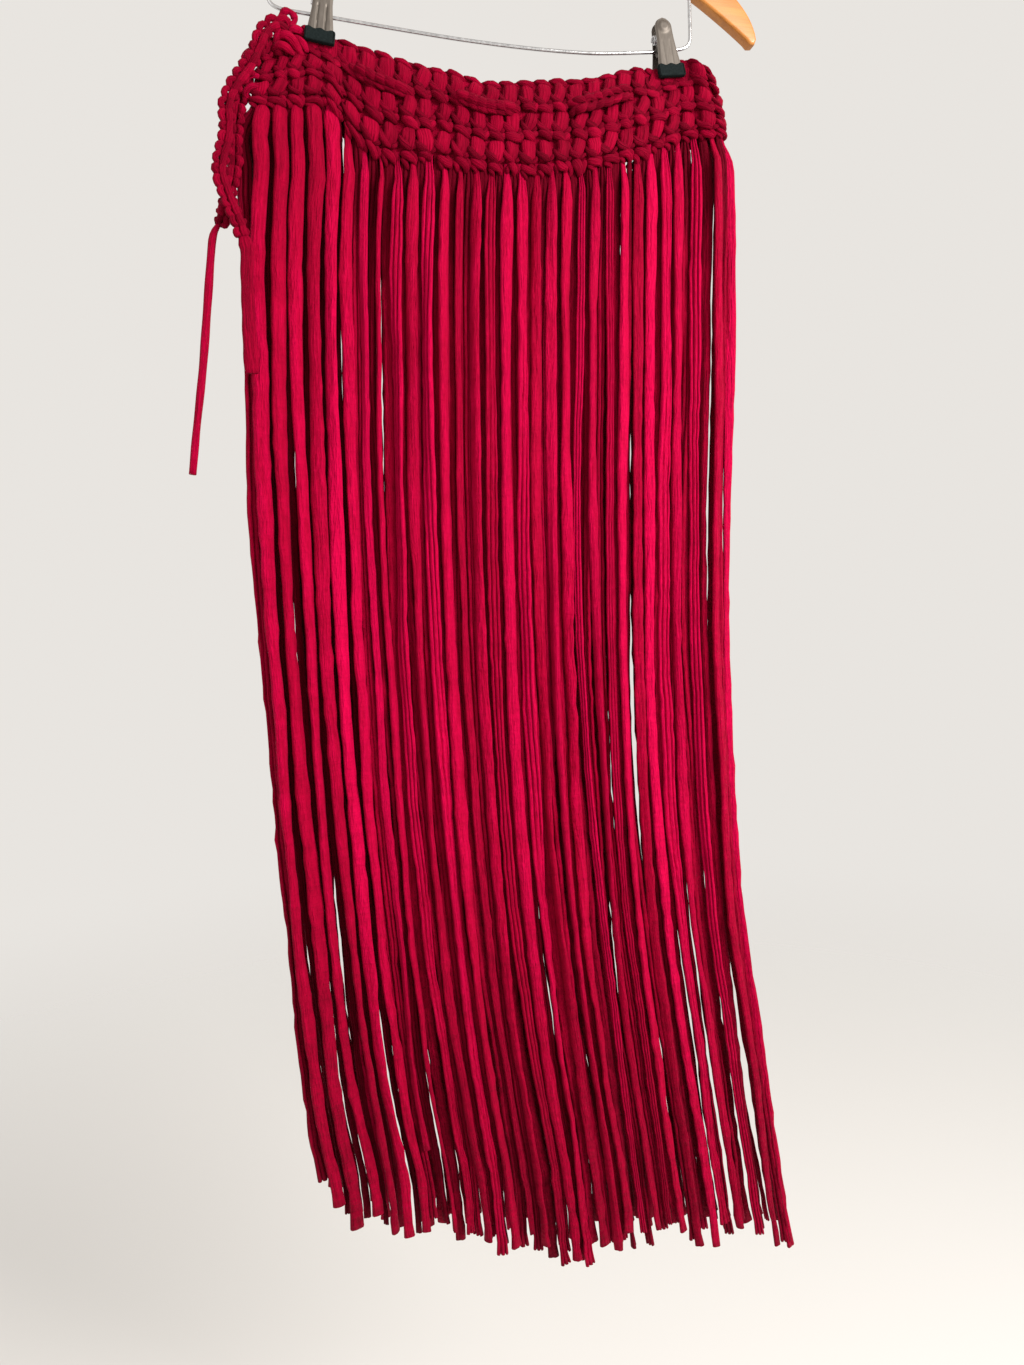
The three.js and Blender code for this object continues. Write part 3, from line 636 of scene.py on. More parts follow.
def strand(i, front):
    """One strand's points, radii, turns and shades; every odd one hangs in the outer of the two layers."""
    outer, share = i % 2 == 1, (i + 0.5) / STRANDS
    at_left = share < LEFT_SHARE
    wide, tucked = at_left and outer, at_left and not outer and i > 0
    d = 0.8 + share * (FLAT + TURN / 2 - 3.4)
    (root,), (way,) = place([d if front else ROUND - d], [1.0], [WALL / 2])
    x0, y0, top = root / MM + (0, 0, HANG_Z)
    bottom = hem(share) + rng.uniform(-HEM_SCATTER, HEM_SCATTER)
    if front and i == SHORT_STRAND:
        bottom = bottom + SHORT_BY
    t = np.r_[-0.003, 0.003, 0.008, 0.014, 0.021, 0.029, np.linspace(0.04, 1, 80)]
    rough = rng.normal(0, 1, (2, len(t)))
    z = top + (bottom - top) * t
    fallen = top - z
    settle = smooth(fallen / 26)

    # across the skirt: the outermost strands swing out, and the tie ends push the first one further
    waves = zip(rng.normal(0, (1.3, 1.1, 0.6, 0.35)), (1.3, 3.1, 6.7, 13.0), rng.uniform(0, 6, 4))
    sways = sum(size * np.sin(t * often * math.pi + start) for size, often, start in waves)
    wander = 0.22 * rough[0] + sways
    fan = strand_x(np.minimum(z, FREE_Z), share) - strand_x(FREE_Z, share)
    swing = 8 * smooth((share - 0.88) / 0.12) - 5 * smooth((0.12 - share) / 0.12)
    pushed = 9 * (1 - smooth(fallen / 140)) if front and i == 0 else 0
    x = x0 + (fan + swing - pushed + wander * (0.5 + 0.7 * t)) * settle
    layer = LAYER if outer else -LEFT_LAYER if at_left else -LAYER
    y = y0 + way[1] * layer * settle + 0.3 * np.sin(t * 9 + i) * settle
    y[0] -= 1.0  # a first step straight backwards fixes which way the sweep's flat side faces

    # half its width: thinner towards the end, full only some way below the knot, and flared at the cut
    half = rng.uniform(5.1, 6.1) if wide else rng.choice([3.2, 3.9, 4.5, 5.2] if outer else [4.7, 5.3, 5.9])
    half = 3.1 if tucked else half
    half = half * (1.05 - 0.22 * smooth((t - 0.5) / 0.5))
    half = half * (1 + 0.07 * np.sin(t * rng.uniform(12, 30) + i) + (0.04 + 0.05 * t) * rough[1])
    shoulder = smooth(fallen / (9 if wide else 38 if outer else 18))
    half = half * (0.5 + 0.5 * shoulder) * (1 + 0.15 * smooth((t - 0.985) / 0.015))

    # the outline's creased side faces +Y, so half a turn brings it to the front
    creased = not (wide or i % 4 == 3)
    turn = math.pi * (creased == front) + rng.normal(0, 0.42)
    twist = rng.normal(0, 0.75) * np.sin(t * rng.uniform(4, 11) + rng.uniform(0, 6))
    turn = turn + twist * smooth(fallen / 160)

    # each strand's shade varies at random; painted shade then darkens the inner layer, the narrow tucked
    # strands at the left, the roots below the band and the lower half
    tone = rng.uniform(0.36, 1.0) if outer else rng.uniform(0.1, 0.6) - (0.8 if tucked else 0.0)
    tone = tone - 0.45 * smooth((t - 0.5) / 0.5)
    painted_root_shade, reach = (0.1 if share > 0.2 else 0.35, 200) if outer else (1.0, 130)
    tone = tone - painted_root_shade * (1 - smooth(fallen / reach))
    return np.stack([x, y, z - HANG_Z], -1) * MM, half, turn, tone


def fringe(front):
    """All the strands of one side; every third one is swept with the rolled outline."""
    made = [strand(i, front) for i in range(STRANDS)]
    rolled = [run for i, run in enumerate(made) if i % 3 == 1]
    soft = [run for i, run in enumerate(made) if i % 3 != 1]
    return merge([sweep("soft", soft, soft_section), sweep("rolled", rolled, rolled_section)])


fringe_front = piece("fringe_front_strands", fringe(True), yarn, "yarn", "fringe_front")
fringe_back = piece("fringe_back_strands", fringe(False), yarn, "yarn", "fringe_back")

# %% [markdown]
# ## Fringe knots
# A pair of strands is one length of yarn looped through a stitch: its fold comes over the edge and lies
# across the pair. Each knot is a fat sweep that runs slantwise across two strands, with a shorter one on
# either side.

# %% Knots
def knot():
    """A fat loop across two strands, with a shorter one on either side."""
    dip = rng.uniform(-1.2, 1.2)
    fat = [(-4.6, 4.2, -3.0), (-3.6, 1.8, 0.6), (-0.4, -0.4 + dip, 2.3), (2.8, -2.0, 0.9), (4.2, -4.4, -2.8)]
    after = [(1.0, 4.8, -2.4), (2.8, 2.2, 1.1), (4.6, 0.4, 0.6), (5.4, -2.6, -2.4)]
    before = [(-5.8, 1.2, -2.6), (-5.0, -1.6, 0.2), (-3.2, -3.8, 0.2), (-2.6, -6.2, -2.6)]
    return sweep("knot", [
        run_of(fat, [1.4, 2.7, 3.0, 2.5, 1.3], 13),
        run_of(after, [1.2, 2.1, 2.1, 1.2], 9),
        run_of(before, [1.1, 1.8, 1.8, 1.1], 9),
    ], round_section)


knots = [knot() for _ in range(8)]
knot_places = row_of(1.01, 0.5, 0.9, 0.014, 0.25, 1.0, 0.08)
knot_row = piece("fringe_knots", lay(knots, knot_places, 0.9, -1.0), yarn, "yarn")

# %% [markdown]
# ## Crochet chain for the drawstring
# A crochet chain has two faces. From the front it is a plait of leaf-shaped loops that meet in a V. Seen on
# edge, it is a smooth rope with plump beads down one side and small ones down the other. Either is built
# from links in flat cells, and links are set along any path in space, each turned to the path's run.

# %% Chain links
def plait_link():
    """Two leaves that meet in a V, and the loop behind them."""
    leaf = [(1.2, -6.6, -1.2), (3.6, -3.4, 0.8), (3.8, 0.6, 1.2), (1.9, 4.6, 0.8), (0.3, 6.8, -1.2)]
    runs = []
    for side in (-1, 1):
        mirrored = [(side * x, y, z) for x, y, z in leaf]
        runs.append(run_of(mirrored, [1.2, 2.5, 2.8, 2.3, 1.0], shake=0.15))
    runs.append(run_of([(0, -5.0, -1.2), (0, -1.0, -1.8), (0, 4.0, -1.2)], [1.3, 2.2, 1.2], 8))
    return sweep("link", runs, round_section)


def rope_link():
    """A stretch of smooth rope with a plump bead at plus x and a small one at minus x."""
    rope = [(-1.9, -7.8, -1.2), (-1.3, -4.4, 0.5), (-1.0, 0.0, 0.9), (-1.3, 4.4, 0.5), (-1.9, 7.8, -1.2)]
    plump = [(0.8, -3.4, -1.2), (3.4, -2.4, 0.6), (4.7, 0.2, 0.8), (3.3, 2.7, 0.3), (0.8, 3.4, -1.2)]
    small = [(-2.2, -2.8, -1.4), (-3.9, -1.0, -0.2), (-3.9, 1.0, -0.2), (-2.2, 2.8, -1.4)]
    behind = [(0.2, -4.6, -1.8), (0.8, 0.0, -2.0), (0.2, 4.6, -1.8)]
    return sweep("link", [
        run_of(rope, [1.3, 2.7, 2.9, 2.7, 1.3], 12, 0.2),
        run_of(plump, [1.2, 2.2, 2.6, 2.2, 1.2], 10, 0.4),
        run_of(small, [1.1, 1.8, 1.8, 1.1], 8, 0.35),
        run_of(behind, [1.4, 1.9, 1.4], 8, 0.1),
    ], round_section)


def twin_link():
    """A stretch of one fat smooth rope with a thinner one tucked beside it."""
    fat = [(-2.0, -8.6, -2.2), (-1.6, -3.6, 1.2), (-0.8, 3.2, 1.4), (0.2, 8.6, -2.2)]
    thin = [(2.4, -7.2, -2.0), (3.4, -3.2, -0.6), (4.1, 2.8, -0.5), (4.3, 7.2, -2.2)]
    return sweep("link", [
        run_of(fat, [2.2, 4.1, 4.3, 2.2], 12, 0.3),
        run_of(thin, [1.4, 2.3, 2.4, 1.4], 12, 0.3),
    ], round_section)


plait_links = [plait_link() for _ in range(5)]
twin_links = [twin_link() for _ in range(5)]
rope_links = [rope_link() for _ in range(9)]


def chain_along(choices, line, face, step, size=1.0, mirror=1):
    """Links set along a path in metres; face is the way the chain's front looks."""
    run = np.r_[0, np.cumsum(np.linalg.norm(np.diff(line, axis=0), axis=1))] / MM
    count = max(2, round(run[-1] / step))
    used = [choices[k] for k in rng.integers(len(choices), size=count)]
    whole = merge(used)
    co = np.zeros(len(whole.vertices) * 3)
    whole.vertices.foreach_get("co", co)
    x, y, z = co.reshape(-1, 3).T / MM * size
    which = np.repeat(np.arange(count), [len(c.vertices) for c in used])
    s = np.clip((which + 0.5) / count * run[-1] + y, 0.6, run[-1] - 0.6)

    def at(values):
        return np.stack([np.interp(s, run, np.broadcast_to(values, line.shape)[:, k]) for k in range(3)], -1)

    tangent = at(np.gradient(line, axis=0))
    tangent /= np.linalg.norm(tangent, axis=1)[:, None]
    out_ = at(face)
    out_ -= tangent * (out_ * tangent).sum(1)[:, None]
    out_ /= np.linalg.norm(out_, axis=1)[:, None]
    across = np.cross(tangent, out_)
    moved = at(line) + (across * (x * mirror)[:, None] + out_ * z[:, None]) * MM
    whole.vertices.foreach_set("co", moved.ravel())
    whole.update()
    bm = bmesh.new()
    bm.from_mesh(whole)
    bmesh.ops.recalc_face_normals(bm, faces=bm.faces)
    bm.to_mesh(whole)
    bm.free()
    return whole


# %% [markdown]
# ## The drawstring where it shows
# The drawstring goes in and out between the upper rows. Each stretch that shows rides over the stitches and
# dives into the cloth at both ends. Two of them show the chain's smooth side, one its plaited face.

# %% Drawstring stretches
STRETCHES = [(-112, -70, twin_links), (-33, 16, twin_links), (64, 114, plait_links)]
DIVE = 3  # how far beyond what shows a stretch goes on, down into the cloth


def stretch(x0, x1, links, front):
    """The drawstring from x0 to x1 along the bar, in front or behind."""
    x = np.linspace(x0 - DIVE, x1 + DIVE, 40)
    d = x - BAND_L if front else ROUND - (x - BAND_L)
    rise = smooth(np.minimum(x - x0 + DIVE, x1 + DIVE - x) / 9)
    drift, bulk = np.linspace(-0.03, 0.03, 40), 0.84
    if links is plait_links:
        drift, bulk = -drift, 1.0
    points, way = place(d, 0.32 + drift, WALL - 1.5 + bulk * 6.8 * rise)
    return crumple(chain_along(links, points, way, 7.6, bulk, 1 if front else -1))


for n, (x0, x1, links) in enumerate(STRETCHES, 1):
    for side in ("front", "back"):
        name = f"drawstring_{side}_{n}"
        piece(f"{name}_chain", stretch(x0, x1, links, side == "front"), yarn, "yarn", name)

# %% [markdown]
# ## The hanging ends
# Both ends of the drawstring leave the band at its open left side, hang as chain, and end in a plain tail
# of yarn: one short and broad, one long and thin, cut across so the rolled jersey shows as a hollow.

# %% Tie ends
def straight(end, way, steps):
    """Points on the short straight where a chain ends and its tail starts."""
    way = np.array(way, float) / np.linalg.norm(way)
    return [tuple(np.array(end) + way * t) for t in steps]


def metres(points):
    """Drawn heights and millimetres to places in metres."""
    return (np.array(points, float) - (0, 0, HANG_Z)) * MM


A_END, A_WAY = (-201.8, -27, -185), (2, -0.4, -9)
B_END, B_WAY = (-221, -13, -172), (-4, -0.2, -7)
(seat,), (way,) = place([-163 - BAND_L], [0.08], [WALL + STITCH])
a_start = tuple(seat / MM + (0, 0, HANG_Z) + way * 2.0)
a_line = path(metres([
    a_start, (-166.8, -15.8, -22.2), (-171.6, -17.3, -23.8), (-176.2, -18.6, -27.8), (-179.6, -19.5, -33.2),
    (-182.4, -20, -39.6), (-185.4, -20.3, -46.6), (-189.2, -20.5, -54), (-194.8, -20.8, -62),
    (-204, -21, -75), (-208.8, -21, -88), (-208.8, -21, -100), (-210.4, -21.5, -112), (-214.8, -22, -126),
    (-216, -22.5, -138), (-212.8, -23.5, -150), (-208, -25, -164),
    *straight(A_END, A_WAY, (-7, 0)),
]), 80)
b_line = path(metres([
    (-194.2, -9, -57), (-197.8, -9, -66), (-201.3, -9.3, -78), (-204.2, -9.7, -91), (-206, -10, -106),
    (-207, -10, -122), (-208.4, -10.5, -131.4), (-211.6, -11, -142), (-214.8, -12, -154),
    *straight(B_END, B_WAY, (-7, 0)),
]), 50)
a_tail = path(metres([
    *straight(A_END, A_WAY, (-3, 3, 9)), (-201, -27.4, -215), (-201.5, -27.2, -250), (-201.2, -27, -286),
]), 30)
b_tail = path(metres([
    *straight(B_END, B_WAY, (-3, 2, 6)), (-226, -13.2, -185), (-231.7, -13.4, -228), (-238.5, -13.5, -281),
    (-245.6, -13.6, -327), (-250.6, -13.7, -361),
]), 50)
a_links = crumple(chain_along(rope_links, a_line, (0.2, -1, 0.1), 8.2, 1.04), 0.0005)
b_links = crumple(chain_along(rope_links, b_line, (-0.2, -1, 0.1), 8.0, 1.04, -1), 0.0005)
a_chain = piece("tie_a_chain", a_links, yarn, "yarn", "tie_chain_a")
b_chain = piece("tie_b_chain", b_links, yarn, "yarn", "tie_chain_b")


def tail(name, line, size, node, outline, turn, tone):
    """A plain end of yarn that fills out from the chain's last loop, its flat side turned by turn."""
    t = np.linspace(0, 1, len(line))
    half = size * (0.6 + 0.4 * smooth(t / 0.08)) * (1 + 0.04 * np.sin(t * 30))
    mesh = sweep(name, [(line, half, turn + 0.4 * np.sin(t * 4), tone)], outline)
    return piece(name, mesh, yarn, "yarn", node)


flat_section = section("flat_section", ring(16, 1, 0.5, 0.3, math.pi / 2, 0.4))
open_section = section("open_section", ring(16, 1, 0.95, 0.5, -math.pi / 2, 0.35))
a_end = tail("tie_a_tail", a_tail, 5.6, "tie_tail_a", flat_section, math.pi / 2, 0.2)
b_end = tail("tie_b_tail", b_tail, 3.4, "tie_tail_b", open_section, 0.0, 0.5)

# %% [markdown]
# ## The gathered corner
# At the open corner the band's end is gathered: a small eyelet of chain stands on its top edge, beside it
# lie a few loose loops, and two fat folds run down towards the clip. Down the open end the rows' turning
# loops stick out. Each is one more sweep.

# %% Corner
def on_band(places):
    """Metres for (x along the bar, height, out of the band's inside) on the front."""
    rows_ = np.array(places, float)
    v_ = (rows_[:, 1] - front_top(rows_[:, 0])) / (front_bottom(rows_[:, 0]) - front_top(rows_[:, 0]))
    return place(rows_[:, 0] - BAND_L, v_, rows_[:, 2])[0]


EYELET_R = 5.3
turn = np.linspace(0, 2 * math.pi, 24, endpoint=False)
eyelet = metres(np.stack([
    -160.5 + EYELET_R * np.cos(turn),
    -5.7 + 0.4 * np.sin(3 * turn),
    -11.3 + EYELET_R * np.sin(turn),
], -1))
eyelet_run = (eyelet, 2.5 + 0.5 * np.sin(4 * turn), 0.0, 0.6)
eyelet_mesh = sweep("corner_loop", [eyelet_run], round_section, closed=True)
corner = piece("corner_loop_yarn", eyelet_mesh, yarn, "yarn", "corner_loop")
FOLDS = [
    ([(-163, -24, 8), (-159, -21, 12), (-153, -20, 13), (-148, -23, 10)], [1.5, 3.0, 3.2, 1.6]),
    ([(-176, -32, 8), (-170, -29, 12.5), (-162, -30, 14), (-155, -35, 13), (-151, -41, 9)],
     [1.8, 3.4, 4.0, 3.6, 1.8]),
    ([(-180, -39, 8), (-174, -37, 12), (-166, -38, 13), (-158, -41, 10)], [1.6, 3.0, 3.2, 1.6]),
    ([(-168, -23, 9), (-172, -25, 12.5), (-176, -30, 12), (-179, -35, 9)], [1.5, 2.8, 2.8, 1.5]),
    ([(-158, -26, 9), (-155, -27, 13), (-150, -31, 13), (-147, -37, 9)], [1.6, 3.2, 3.4, 1.7]),
    ([(-192, -42, 10), (-199, -43, 9), (-202, -47, 6), (-196, -51, 3)], [1.6, 3.0, 3.0, 1.6]),
    ([(-190, -52, 10.5), (-198, -52.5, 9.5), (-200, -57, 7), (-195, -60, 3)], [1.6, 3.2, 3.2, 1.6]),
    ([(-188, -62, 10.5), (-195, -61, 10), (-198.5, -65, 7), (-193, -69, 3)], [1.6, 3.0, 3.2, 1.6]),
    ([(-187, -69, 10.5), (-193, -69.5, 9.5), (-196.5, -73, 6), (-191, -77, 3)], [1.6, 2.9, 3.0, 1.6]),
]
folds = []
for points, radii in FOLDS:
    line = path(on_band(points), 14)
    spread = np.interp(np.linspace(0, 1, 14), np.linspace(0, 1, len(radii)), radii)
    folds.append((line, spread, 0.0, rng.uniform(0.4, 0.9)))
gather = piece("corner_folds", sweep("corner_folds", folds, round_section), yarn, "yarn")

# %% [markdown]
# ## The wooden hanger
# A shirt hanger is sawn from a flat board and rounded over at its edges. A flat outline with a thickness
# and a rounded bevel is exactly that, so the body is a 2D curve, filled, extruded and bevelled, then made a
# mesh.

# %% Wood
wood = Shader("honey_wood", Roughness=0.42, Coat_Weight=0.3, Coat_Roughness=0.3, Specular_IOR_Level=0.4)
grain = wood.noise(wood.stretched((6.0, 60.0, 60.0)), 3.0, 4.0, 0.6)
fine = wood.noise(wood.stretched((18.0, 420.0, 420.0)), 2.0, 3.0, 0.6)
wood.feed(Roughness=grain * 0.15 + 0.36, Base_Color=wood.ramp(grain * 0.75 + fine * 0.3, [
    (0.3, (0.31, 0.10, 0.010)),
    (0.5, (0.41, 0.146, 0.018)),
    (0.75, (0.49, 0.19, 0.030)),
]))
wood.bump(fine, 0.12, 0.0004)

# %% Hanger body
lower = [(0, 92), (40, 89), (80, 80), (120, 66), (150, 53), (178, 38), (203, 22), (224, 7)]
tip = [(229, 2.5), (233, 4), (234, 10)]
upper = [(227, 26), (212, 43), (190, 60), (160, 77), (120, 94), (80, 108), (45, 119), (20, 126), (10, 128)]
flat_half = np.array([*lower, *tip, *upper], float)
half = path(np.c_[flat_half, np.zeros(len(flat_half))], 110)[:, :2]
outline = np.r_[half, half[::-1][:-1] * (-1, 1)]
data = bpy.data.curves.new("hanger_wood_board", "CURVE")
data.dimensions = "2D"
data.fill_mode = "BOTH"
ROUND_OVER = 0.0024  # the rounded edge's radius, in metres
data.extrude = 0.0035
data.bevel_depth = ROUND_OVER
data.bevel_resolution = 4
data.offset = -ROUND_OVER  # so that the bevel doesn't widen the outline
spline = data.splines.new("POLY")
spline.points.add(len(outline) - 1)
for p, (x, z) in zip(spline.points, outline):
    p.co = (x * MM, z * MM, 0, 1)
spline.use_cyclic_u = True
board = bpy.data.objects.new("hanger_wood_board", data)
bpy.context.scene.collection.objects.link(board)
bpy.context.view_layer.update()
mesh = bpy.data.meshes.new_from_object(board.evaluated_get(bpy.context.evaluated_depsgraph_get()))
bpy.data.objects.remove(board)
mesh.transform(Matrix.Translation((0, 0, -HANG_Z * MM)) @ Matrix.Rotation(math.pi / 2, 4, "X"))
bm = bmesh.new()
bm.from_mesh(mesh)
bmesh.ops.remove_doubles(bm, verts=bm.verts, dist=0.00002)
bmesh.ops.recalc_face_normals(bm, faces=bm.faces)
bm.to_mesh(mesh)
bm.free()
mesh.shade_smooth()
hanger = piece("hanger_body", mesh, wood, "wood", "hanger_wood")
hanger.modifiers.new("crisp", "EDGE_SPLIT").split_angle = math.radians(50)

# %% [markdown]
# ## Wire, clips and rubber
# The bar and hook are plated wire: a circle swept along the bends. The skirt's weight bows the bar.

# %% Wire
chrome = Shader("plated_wire", Metallic=1.0, Roughness=0.2)
scratches = chrome.noise(chrome.stretched((400.0, 400.0, 400.0)), 1.0, 2.0)
chrome.feed(Roughness=scratches * 0.2 + 0.12,
            Base_Color=chrome.ramp(scratches, [(0.3, (0.5, 0.5, 0.51)), (0.7, (0.66, 0.66, 0.67))]))
wire_section = section("wire_section", ring(16, 1, 1))
bar_z, = curves([
    (-168, -1.8), (-140, -3.4), (-118, -5), (-60, -9.4), (-16, -12.2), (38, -13.9), (86, -13.3), (114, -10.9),
    (143, -7.6), (168, -4),
])
HOOK_R, HOOK_Z = 21, 172  # the bend's radius to the wire's middle, and its centre's height
stem = [(0, 0, 113), (0, 0, 121), (0, 0, 130), (0, 0, 138), (1.4, 0, 145), (6, 0, 151.2)]
bend = []
for degrees in range(-50, 201, 10):
    angle = math.radians(degrees)
    bend.append((HOOK_R * math.cos(angle), 0, HOOK_Z + HOOK_R * math.sin(angle)))
hook_line = path(metres([*stem, *bend]), 90)
hook_radii = np.r_[np.full(88, 1.8), 1.5, 0.7]  # the wire's tip is rounded off
hook_mesh = sweep("hook", [(hook_line, hook_radii, 0.0, 0.5)], wire_section)
piece("hanger_hook_wire", hook_mesh, chrome, "chrome_wire", "hanger_hook")


UPRIGHT_X = 175  # how far the bar's two uprights stand from the middle


def bar_corner(side):
    """The bar's bend up into its upright, from the run outwards."""
    foot = bar_z(side * 168)
    bent = [(170, foot + 2), (173.4, foot + 4.6), (UPRIGHT_X, foot + 9.5), (UPRIGHT_X, 28), (UPRIGHT_X, 47)]
    return [(side * x, 0, z) for x, z in bent]


bar_run = [(x, 0, bar_z(x)) for x in np.linspace(-162, 162, 37)]
bar_line = path(metres([*bar_corner(-1)[::-1], *bar_run, *bar_corner(1)]), 170)
bar_mesh = sweep("bar", [(bar_line, 1.5, 0.0, 0.5)], wire_section)
piece("hanger_bar_wire", bar_mesh, chrome, "chrome_wire", "hanger_bar")

# %% [markdown]
# ## The clips
# A jaw is stamped from sheet: it widens from a round top to the lip, a shallow dome is pressed into the top
# and two grooves down the shank, and two ears fold back to carry the spring. The left clip's grooves are
# deep, and the right one's are worn faint. bmesh starts from a small grid, shapes its outline and reliefs,
# and solidifies the sheet.

# %% Steel and rubber
steel = Shader("satin_steel_sheet", Metallic=0.6, Roughness=0.5)
brushed = steel.noise(steel.stretched((900.0, 900.0, 60.0)), 1.0, 3.0, 0.6)
worn = steel.noise(steel.place(), 60.0, 2.0)
steel.feed(Roughness=brushed * 0.2 + 0.42, Base_Color=steel.ramp(brushed * 0.5 + worn * 0.5, [
    (0.3, (0.10, 0.084, 0.071)),
    (0.7, (0.15, 0.13, 0.112)),
]))
steel.bump(brushed, 0.1, 0.0002)
rubber = Shader("black_rubber", Roughness=0.85, Specular_IOR_Level=0.08)
speck = rubber.noise(rubber.place(), 700.0, 2.0)
rubber.feed(Base_Color=rubber.ramp(speck, [(0.3, (0.004, 0.007, 0.007)), (0.8, (0.010, 0.015, 0.015))]))
rubber.bump(speck, 0.15, 0.0003)

# %% One jaw and one pad, in the clip's own frame
JAW_TILT, JAW_Y = math.atan(5.2 / 47), 7.0  # how a jaw leans, and how far it stands off the bar
DOME_Z, DOME_R = 17.4, 7.4  # the round top's centre above the bar, and its radius
PAD_TOP, PAD_FOOT, PAD_HALF = -15.7, -25.7, 11.8  # the pad's two edges, and half its width
LIP = 2.4  # how far above the pad's lower edge the sheet ends
GROOVE_X = 3.3  # the grooves' distance from the middle
FRONT_EAR_X, BACK_EAR_X = 6.2, 4.4  # the back jaw's ears fit between the front one's
jaw_half, = curves([(-23.3, 10.2), (-13, 9.8), (-4, 8.7), (4, 7.9), (10, 7.5), (17.4, 7.4)])


def stand(s):
    """Carries a leaf drawn facing -Y to its place; s is -1 in front and 1 behind."""
    flip = Matrix.Rotation(math.pi, 4, "Z") if s > 0 else Matrix.Identity(4)
    return flip @ Matrix.Translation((0, -JAW_Y, 0)) @ Matrix.Rotation(-JAW_TILT, 4, "X")


def relief(x, z, u, groove):
    """How far the sheet is pressed out at a place: dome, two grooves and rolled sides."""
    r = math.hypot(x, z - DOME_Z)
    dome = 1.4 * (1 - float(smooth((r - 2.6) / 3.6)))
    down_shank = float(smooth((z + 17) / 3) * (1 - smooth((z - 4) / 3)))
    grooves = -groove * sum(math.exp(-((x - c) / 0.75) ** 2) for c in (-GROOVE_X, GROOVE_X)) * down_shank
    return dome + grooves - 0.9 * float(smooth((abs(u) - 0.74) / 0.26))


def jaw_mesh(s, groove):
    """A jaw's sheet with its two ears; groove is how deep its grooves are, in millimetres."""
    bm = bmesh.new()
    bmesh.ops.create_grid(bm, x_segments=36, y_segments=48, size=0.5)
    top = DOME_Z + DOME_R
    for vert in bm.verts:
        u, w = vert.co.x * 2, vert.co.y + 0.5
        z = PAD_FOOT + LIP + w * (top - PAD_FOOT - LIP)
        round_half = math.sqrt(max(DOME_R ** 2 - (z - DOME_Z) ** 2, 0.0001))
        x = u * (float(jaw_half(z)) if z < DOME_Z else round_half)
        vert.co = Vector((x, -relief(x, z, u, groove), z))
    bmesh.ops.recalc_face_normals(bm, faces=bm.faces)
    bmesh.ops.solidify(bm, geom=bm.faces[:], thickness=0.9)
    ear_x = FRONT_EAR_X if s < 0 else BACK_EAR_X
    for side in (-1, 1):
        disc = bmesh.ops.create_cone(bm, cap_ends=True, segments=20, radius1=4.0, radius2=4.0, depth=1.0)
        spot = Matrix.Translation((side * ear_x, 6.9, 0)) @ Matrix.Rotation(math.pi / 2, 4, "Y")
        bmesh.ops.transform(bm, matrix=spot, verts=disc["verts"])
        arm = bmesh.ops.create_cube(bm, size=1.0)
        spot = Matrix.Translation((side * ear_x, 3.6, 1.5)) @ Matrix.Diagonal((1.0, 6.4, 9.0, 1))
        bmesh.ops.transform(bm, matrix=spot, verts=arm["verts"])
    bmesh.ops.transform(bm, matrix=stand(s), verts=bm.verts)
    bmesh.ops.recalc_face_normals(bm, faces=bm.faces)
    return bm


def pad_mesh(s):
    """A rubber sleeve round the jaw's lip, its upper edge moulded in shallow waves."""
    bm = bmesh.new()
    made = bmesh.ops.create_cube(bm, size=1.0)
    size = Matrix.Diagonal((2 * PAD_HALF, 4.6, PAD_TOP - PAD_FOOT, 1))
    bmesh.ops.transform(bm, matrix=size, verts=made["verts"])
    long_edges = [e for e in bm.edges if abs(e.verts[0].co.x - e.verts[1].co.x) > 1]
    bmesh.ops.subdivide_edges(bm, edges=long_edges, cuts=23, use_grid_fill=True)
    rim = [e for e in bm.edges if e.is_manifold and e.calc_face_angle() > 1]
    bmesh.ops.bevel(bm, geom=rim, offset=1.1, segments=3, profile=0.5, affect="EDGES", material=-1)
    middle = (PAD_TOP + PAD_FOOT) / 2
    for vert in bm.verts:
        upper_share = max(0.0, vert.co.z / (PAD_TOP - middle))
        vert.co.z += middle + 0.7 * upper_share * math.cos(vert.co.x * 2 * math.pi / 9)
    bmesh.ops.transform(bm, matrix=stand(s), verts=bm.verts)
    bmesh.ops.recalc_face_normals(bm, faces=bm.faces)
    return bm


# %% Set the clips on the bar
def clip_spot(clip_x, tilt):
    """From a clip's own frame in millimetres to its place in metres."""
    at = Matrix.Translation((clip_x * MM, 0, (float(bar_z(clip_x)) - HANG_Z) * MM))
    return at @ Matrix.Rotation(math.radians(tilt), 4, "Y") @ Matrix.Scale(MM, 4)


def on_clip(bm, spot):
    """A mesh from a bmesh of the clip's own frame, carried to its spot."""
    bmesh.ops.transform(bm, matrix=spot, verts=bm.verts)
    mesh = bpy.data.meshes.new("clip_part")
    bm.to_mesh(mesh)
    bm.free()
    mesh.shade_smooth()
    return mesh


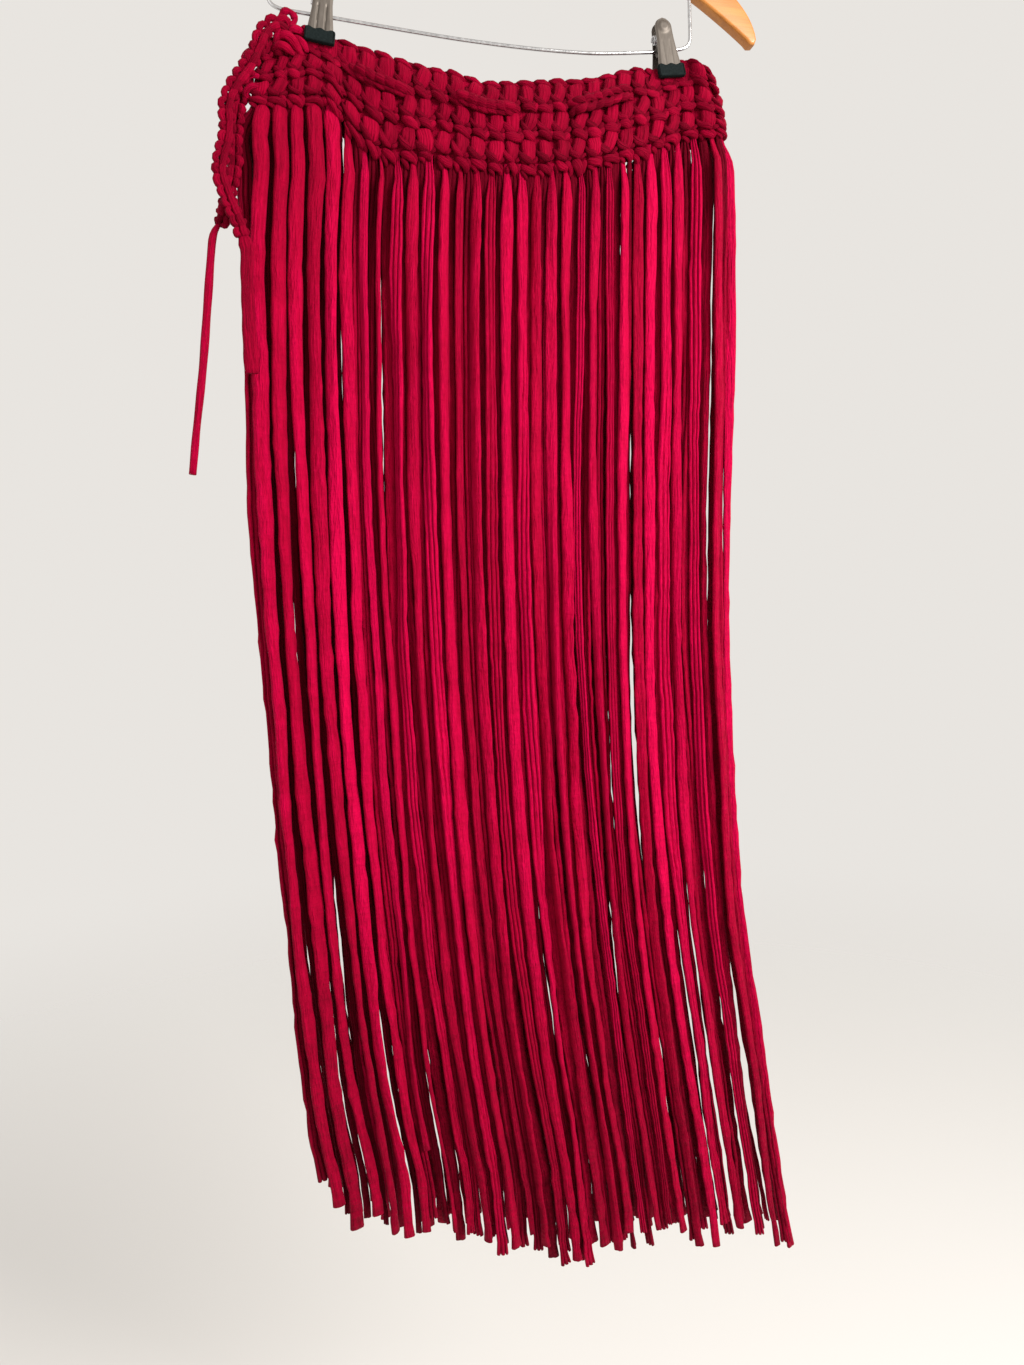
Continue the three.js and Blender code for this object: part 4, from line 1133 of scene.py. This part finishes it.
COIL_R, COIL_TURNS = 3.1, 8
t = np.linspace(0, 1, 100)
angle = t * 2 * COIL_TURNS * math.pi
coil = np.stack([-9.0 + 12.4 * t, COIL_R * np.cos(angle), 8.8 + COIL_R * np.sin(angle)], -1)
for side, (clip_x, tilt) in CLIPS.items():
    spot = clip_spot(clip_x, tilt)
    groove = 1.0 if side == "l" else 0.2
    for face, s in (("front", -1), ("back", 1)):
        sheet = on_clip(jaw_mesh(s, groove), spot)
        jaw = piece(f"clip_{side}_{face}_jaw", sheet, steel, "clip_steel", f"clip_{side}_jaw_{face}")
        jaw.modifiers.new("crisp", "EDGE_SPLIT").split_angle = math.radians(40)
        sleeve = on_clip(pad_mesh(s), spot)
        piece(f"clip_{side}_{face}_pad", sleeve, rubber, "clip_rubber", f"clip_{side}_pad_{face}")
    line = np.array([spot @ Vector(p) for p in coil])
    spring = sweep("spring", [(line, 0.62, 0.0, 0.5)], wire_section)
    piece(f"clip_{side}_coil", spring, chrome, "chrome_wire", f"clip_{side}_spring")

# %% [markdown]
# ## Floor, light and finish
# A pale floor and soft light from the upper right, as from a large window, with a weak fill from the left.
# The floor fades out with distance, so it has no horizon line.

# %% Stage
for outline in (round_section, pad_section, soft_section, rolled_section, flat_section, open_section,
                wire_section):
    bpy.data.objects.remove(outline)
bm = bmesh.new()
bmesh.ops.create_circle(bm, cap_ends=True, segments=96, radius=4)
floor_mesh = bpy.data.meshes.new("floor")
bm.to_mesh(floor_mesh)
bm.free()
floor_mesh.transform(Matrix.Translation((0, 0, cad_low.z - 0.5)))
floor = bpy.data.objects.new("floor", floor_mesh)
bpy.context.scene.collection.objects.link(floor)
pale = Shader("pale_floor", Roughness=0.9, Specular_IOR_Level=0.1)
pale.base.inputs["Base Color"].default_value = (0.74, 0.725, 0.705, 1)
far = pale.node("ShaderNodeVectorMath", {"operation": "LENGTH"}, pale.place(), give="Value")
fade = pale.node("ShaderNodeMapRange", {"interpolation_type": "SMOOTHSTEP"}, far, 1.4, 3.8, 1.0, 0.0)
pale.feed(Alpha=fade)
floor_mesh.materials.append(pale.material)
world = bpy.data.worlds.new("studio")
world.use_nodes = True
world.node_tree.nodes["Background"].inputs["Color"].default_value = (1.0, 0.965, 0.92, 1)
world.node_tree.nodes["Background"].inputs["Strength"].default_value = 0.81
bpy.context.scene.world = world


def lamp(name, at, towards, size, watts, colour):
    """A square area light at a place, facing another."""
    data = bpy.data.lights.new(name, "AREA")
    data.size = size
    data.energy = watts
    data.color = colour
    made = bpy.data.objects.new(name, data)
    made.location = at
    made.rotation_mode = "QUATERNION"
    made.rotation_quaternion = (Vector(towards) - Vector(at)).to_track_quat("-Z", "Y")
    bpy.context.scene.collection.objects.link(made)


lamp("window", (1.3, -1.7, 0.1), (0, 0, -0.7), 0.9, 90, (1.0, 0.97, 0.93))
lamp("fill", (-1.6, -1.4, -0.3), (0, 0, -0.7), 1.4, 5, (1.0, 0.95, 0.9))
bpy.context.scene.view_settings.view_transform = "Standard"
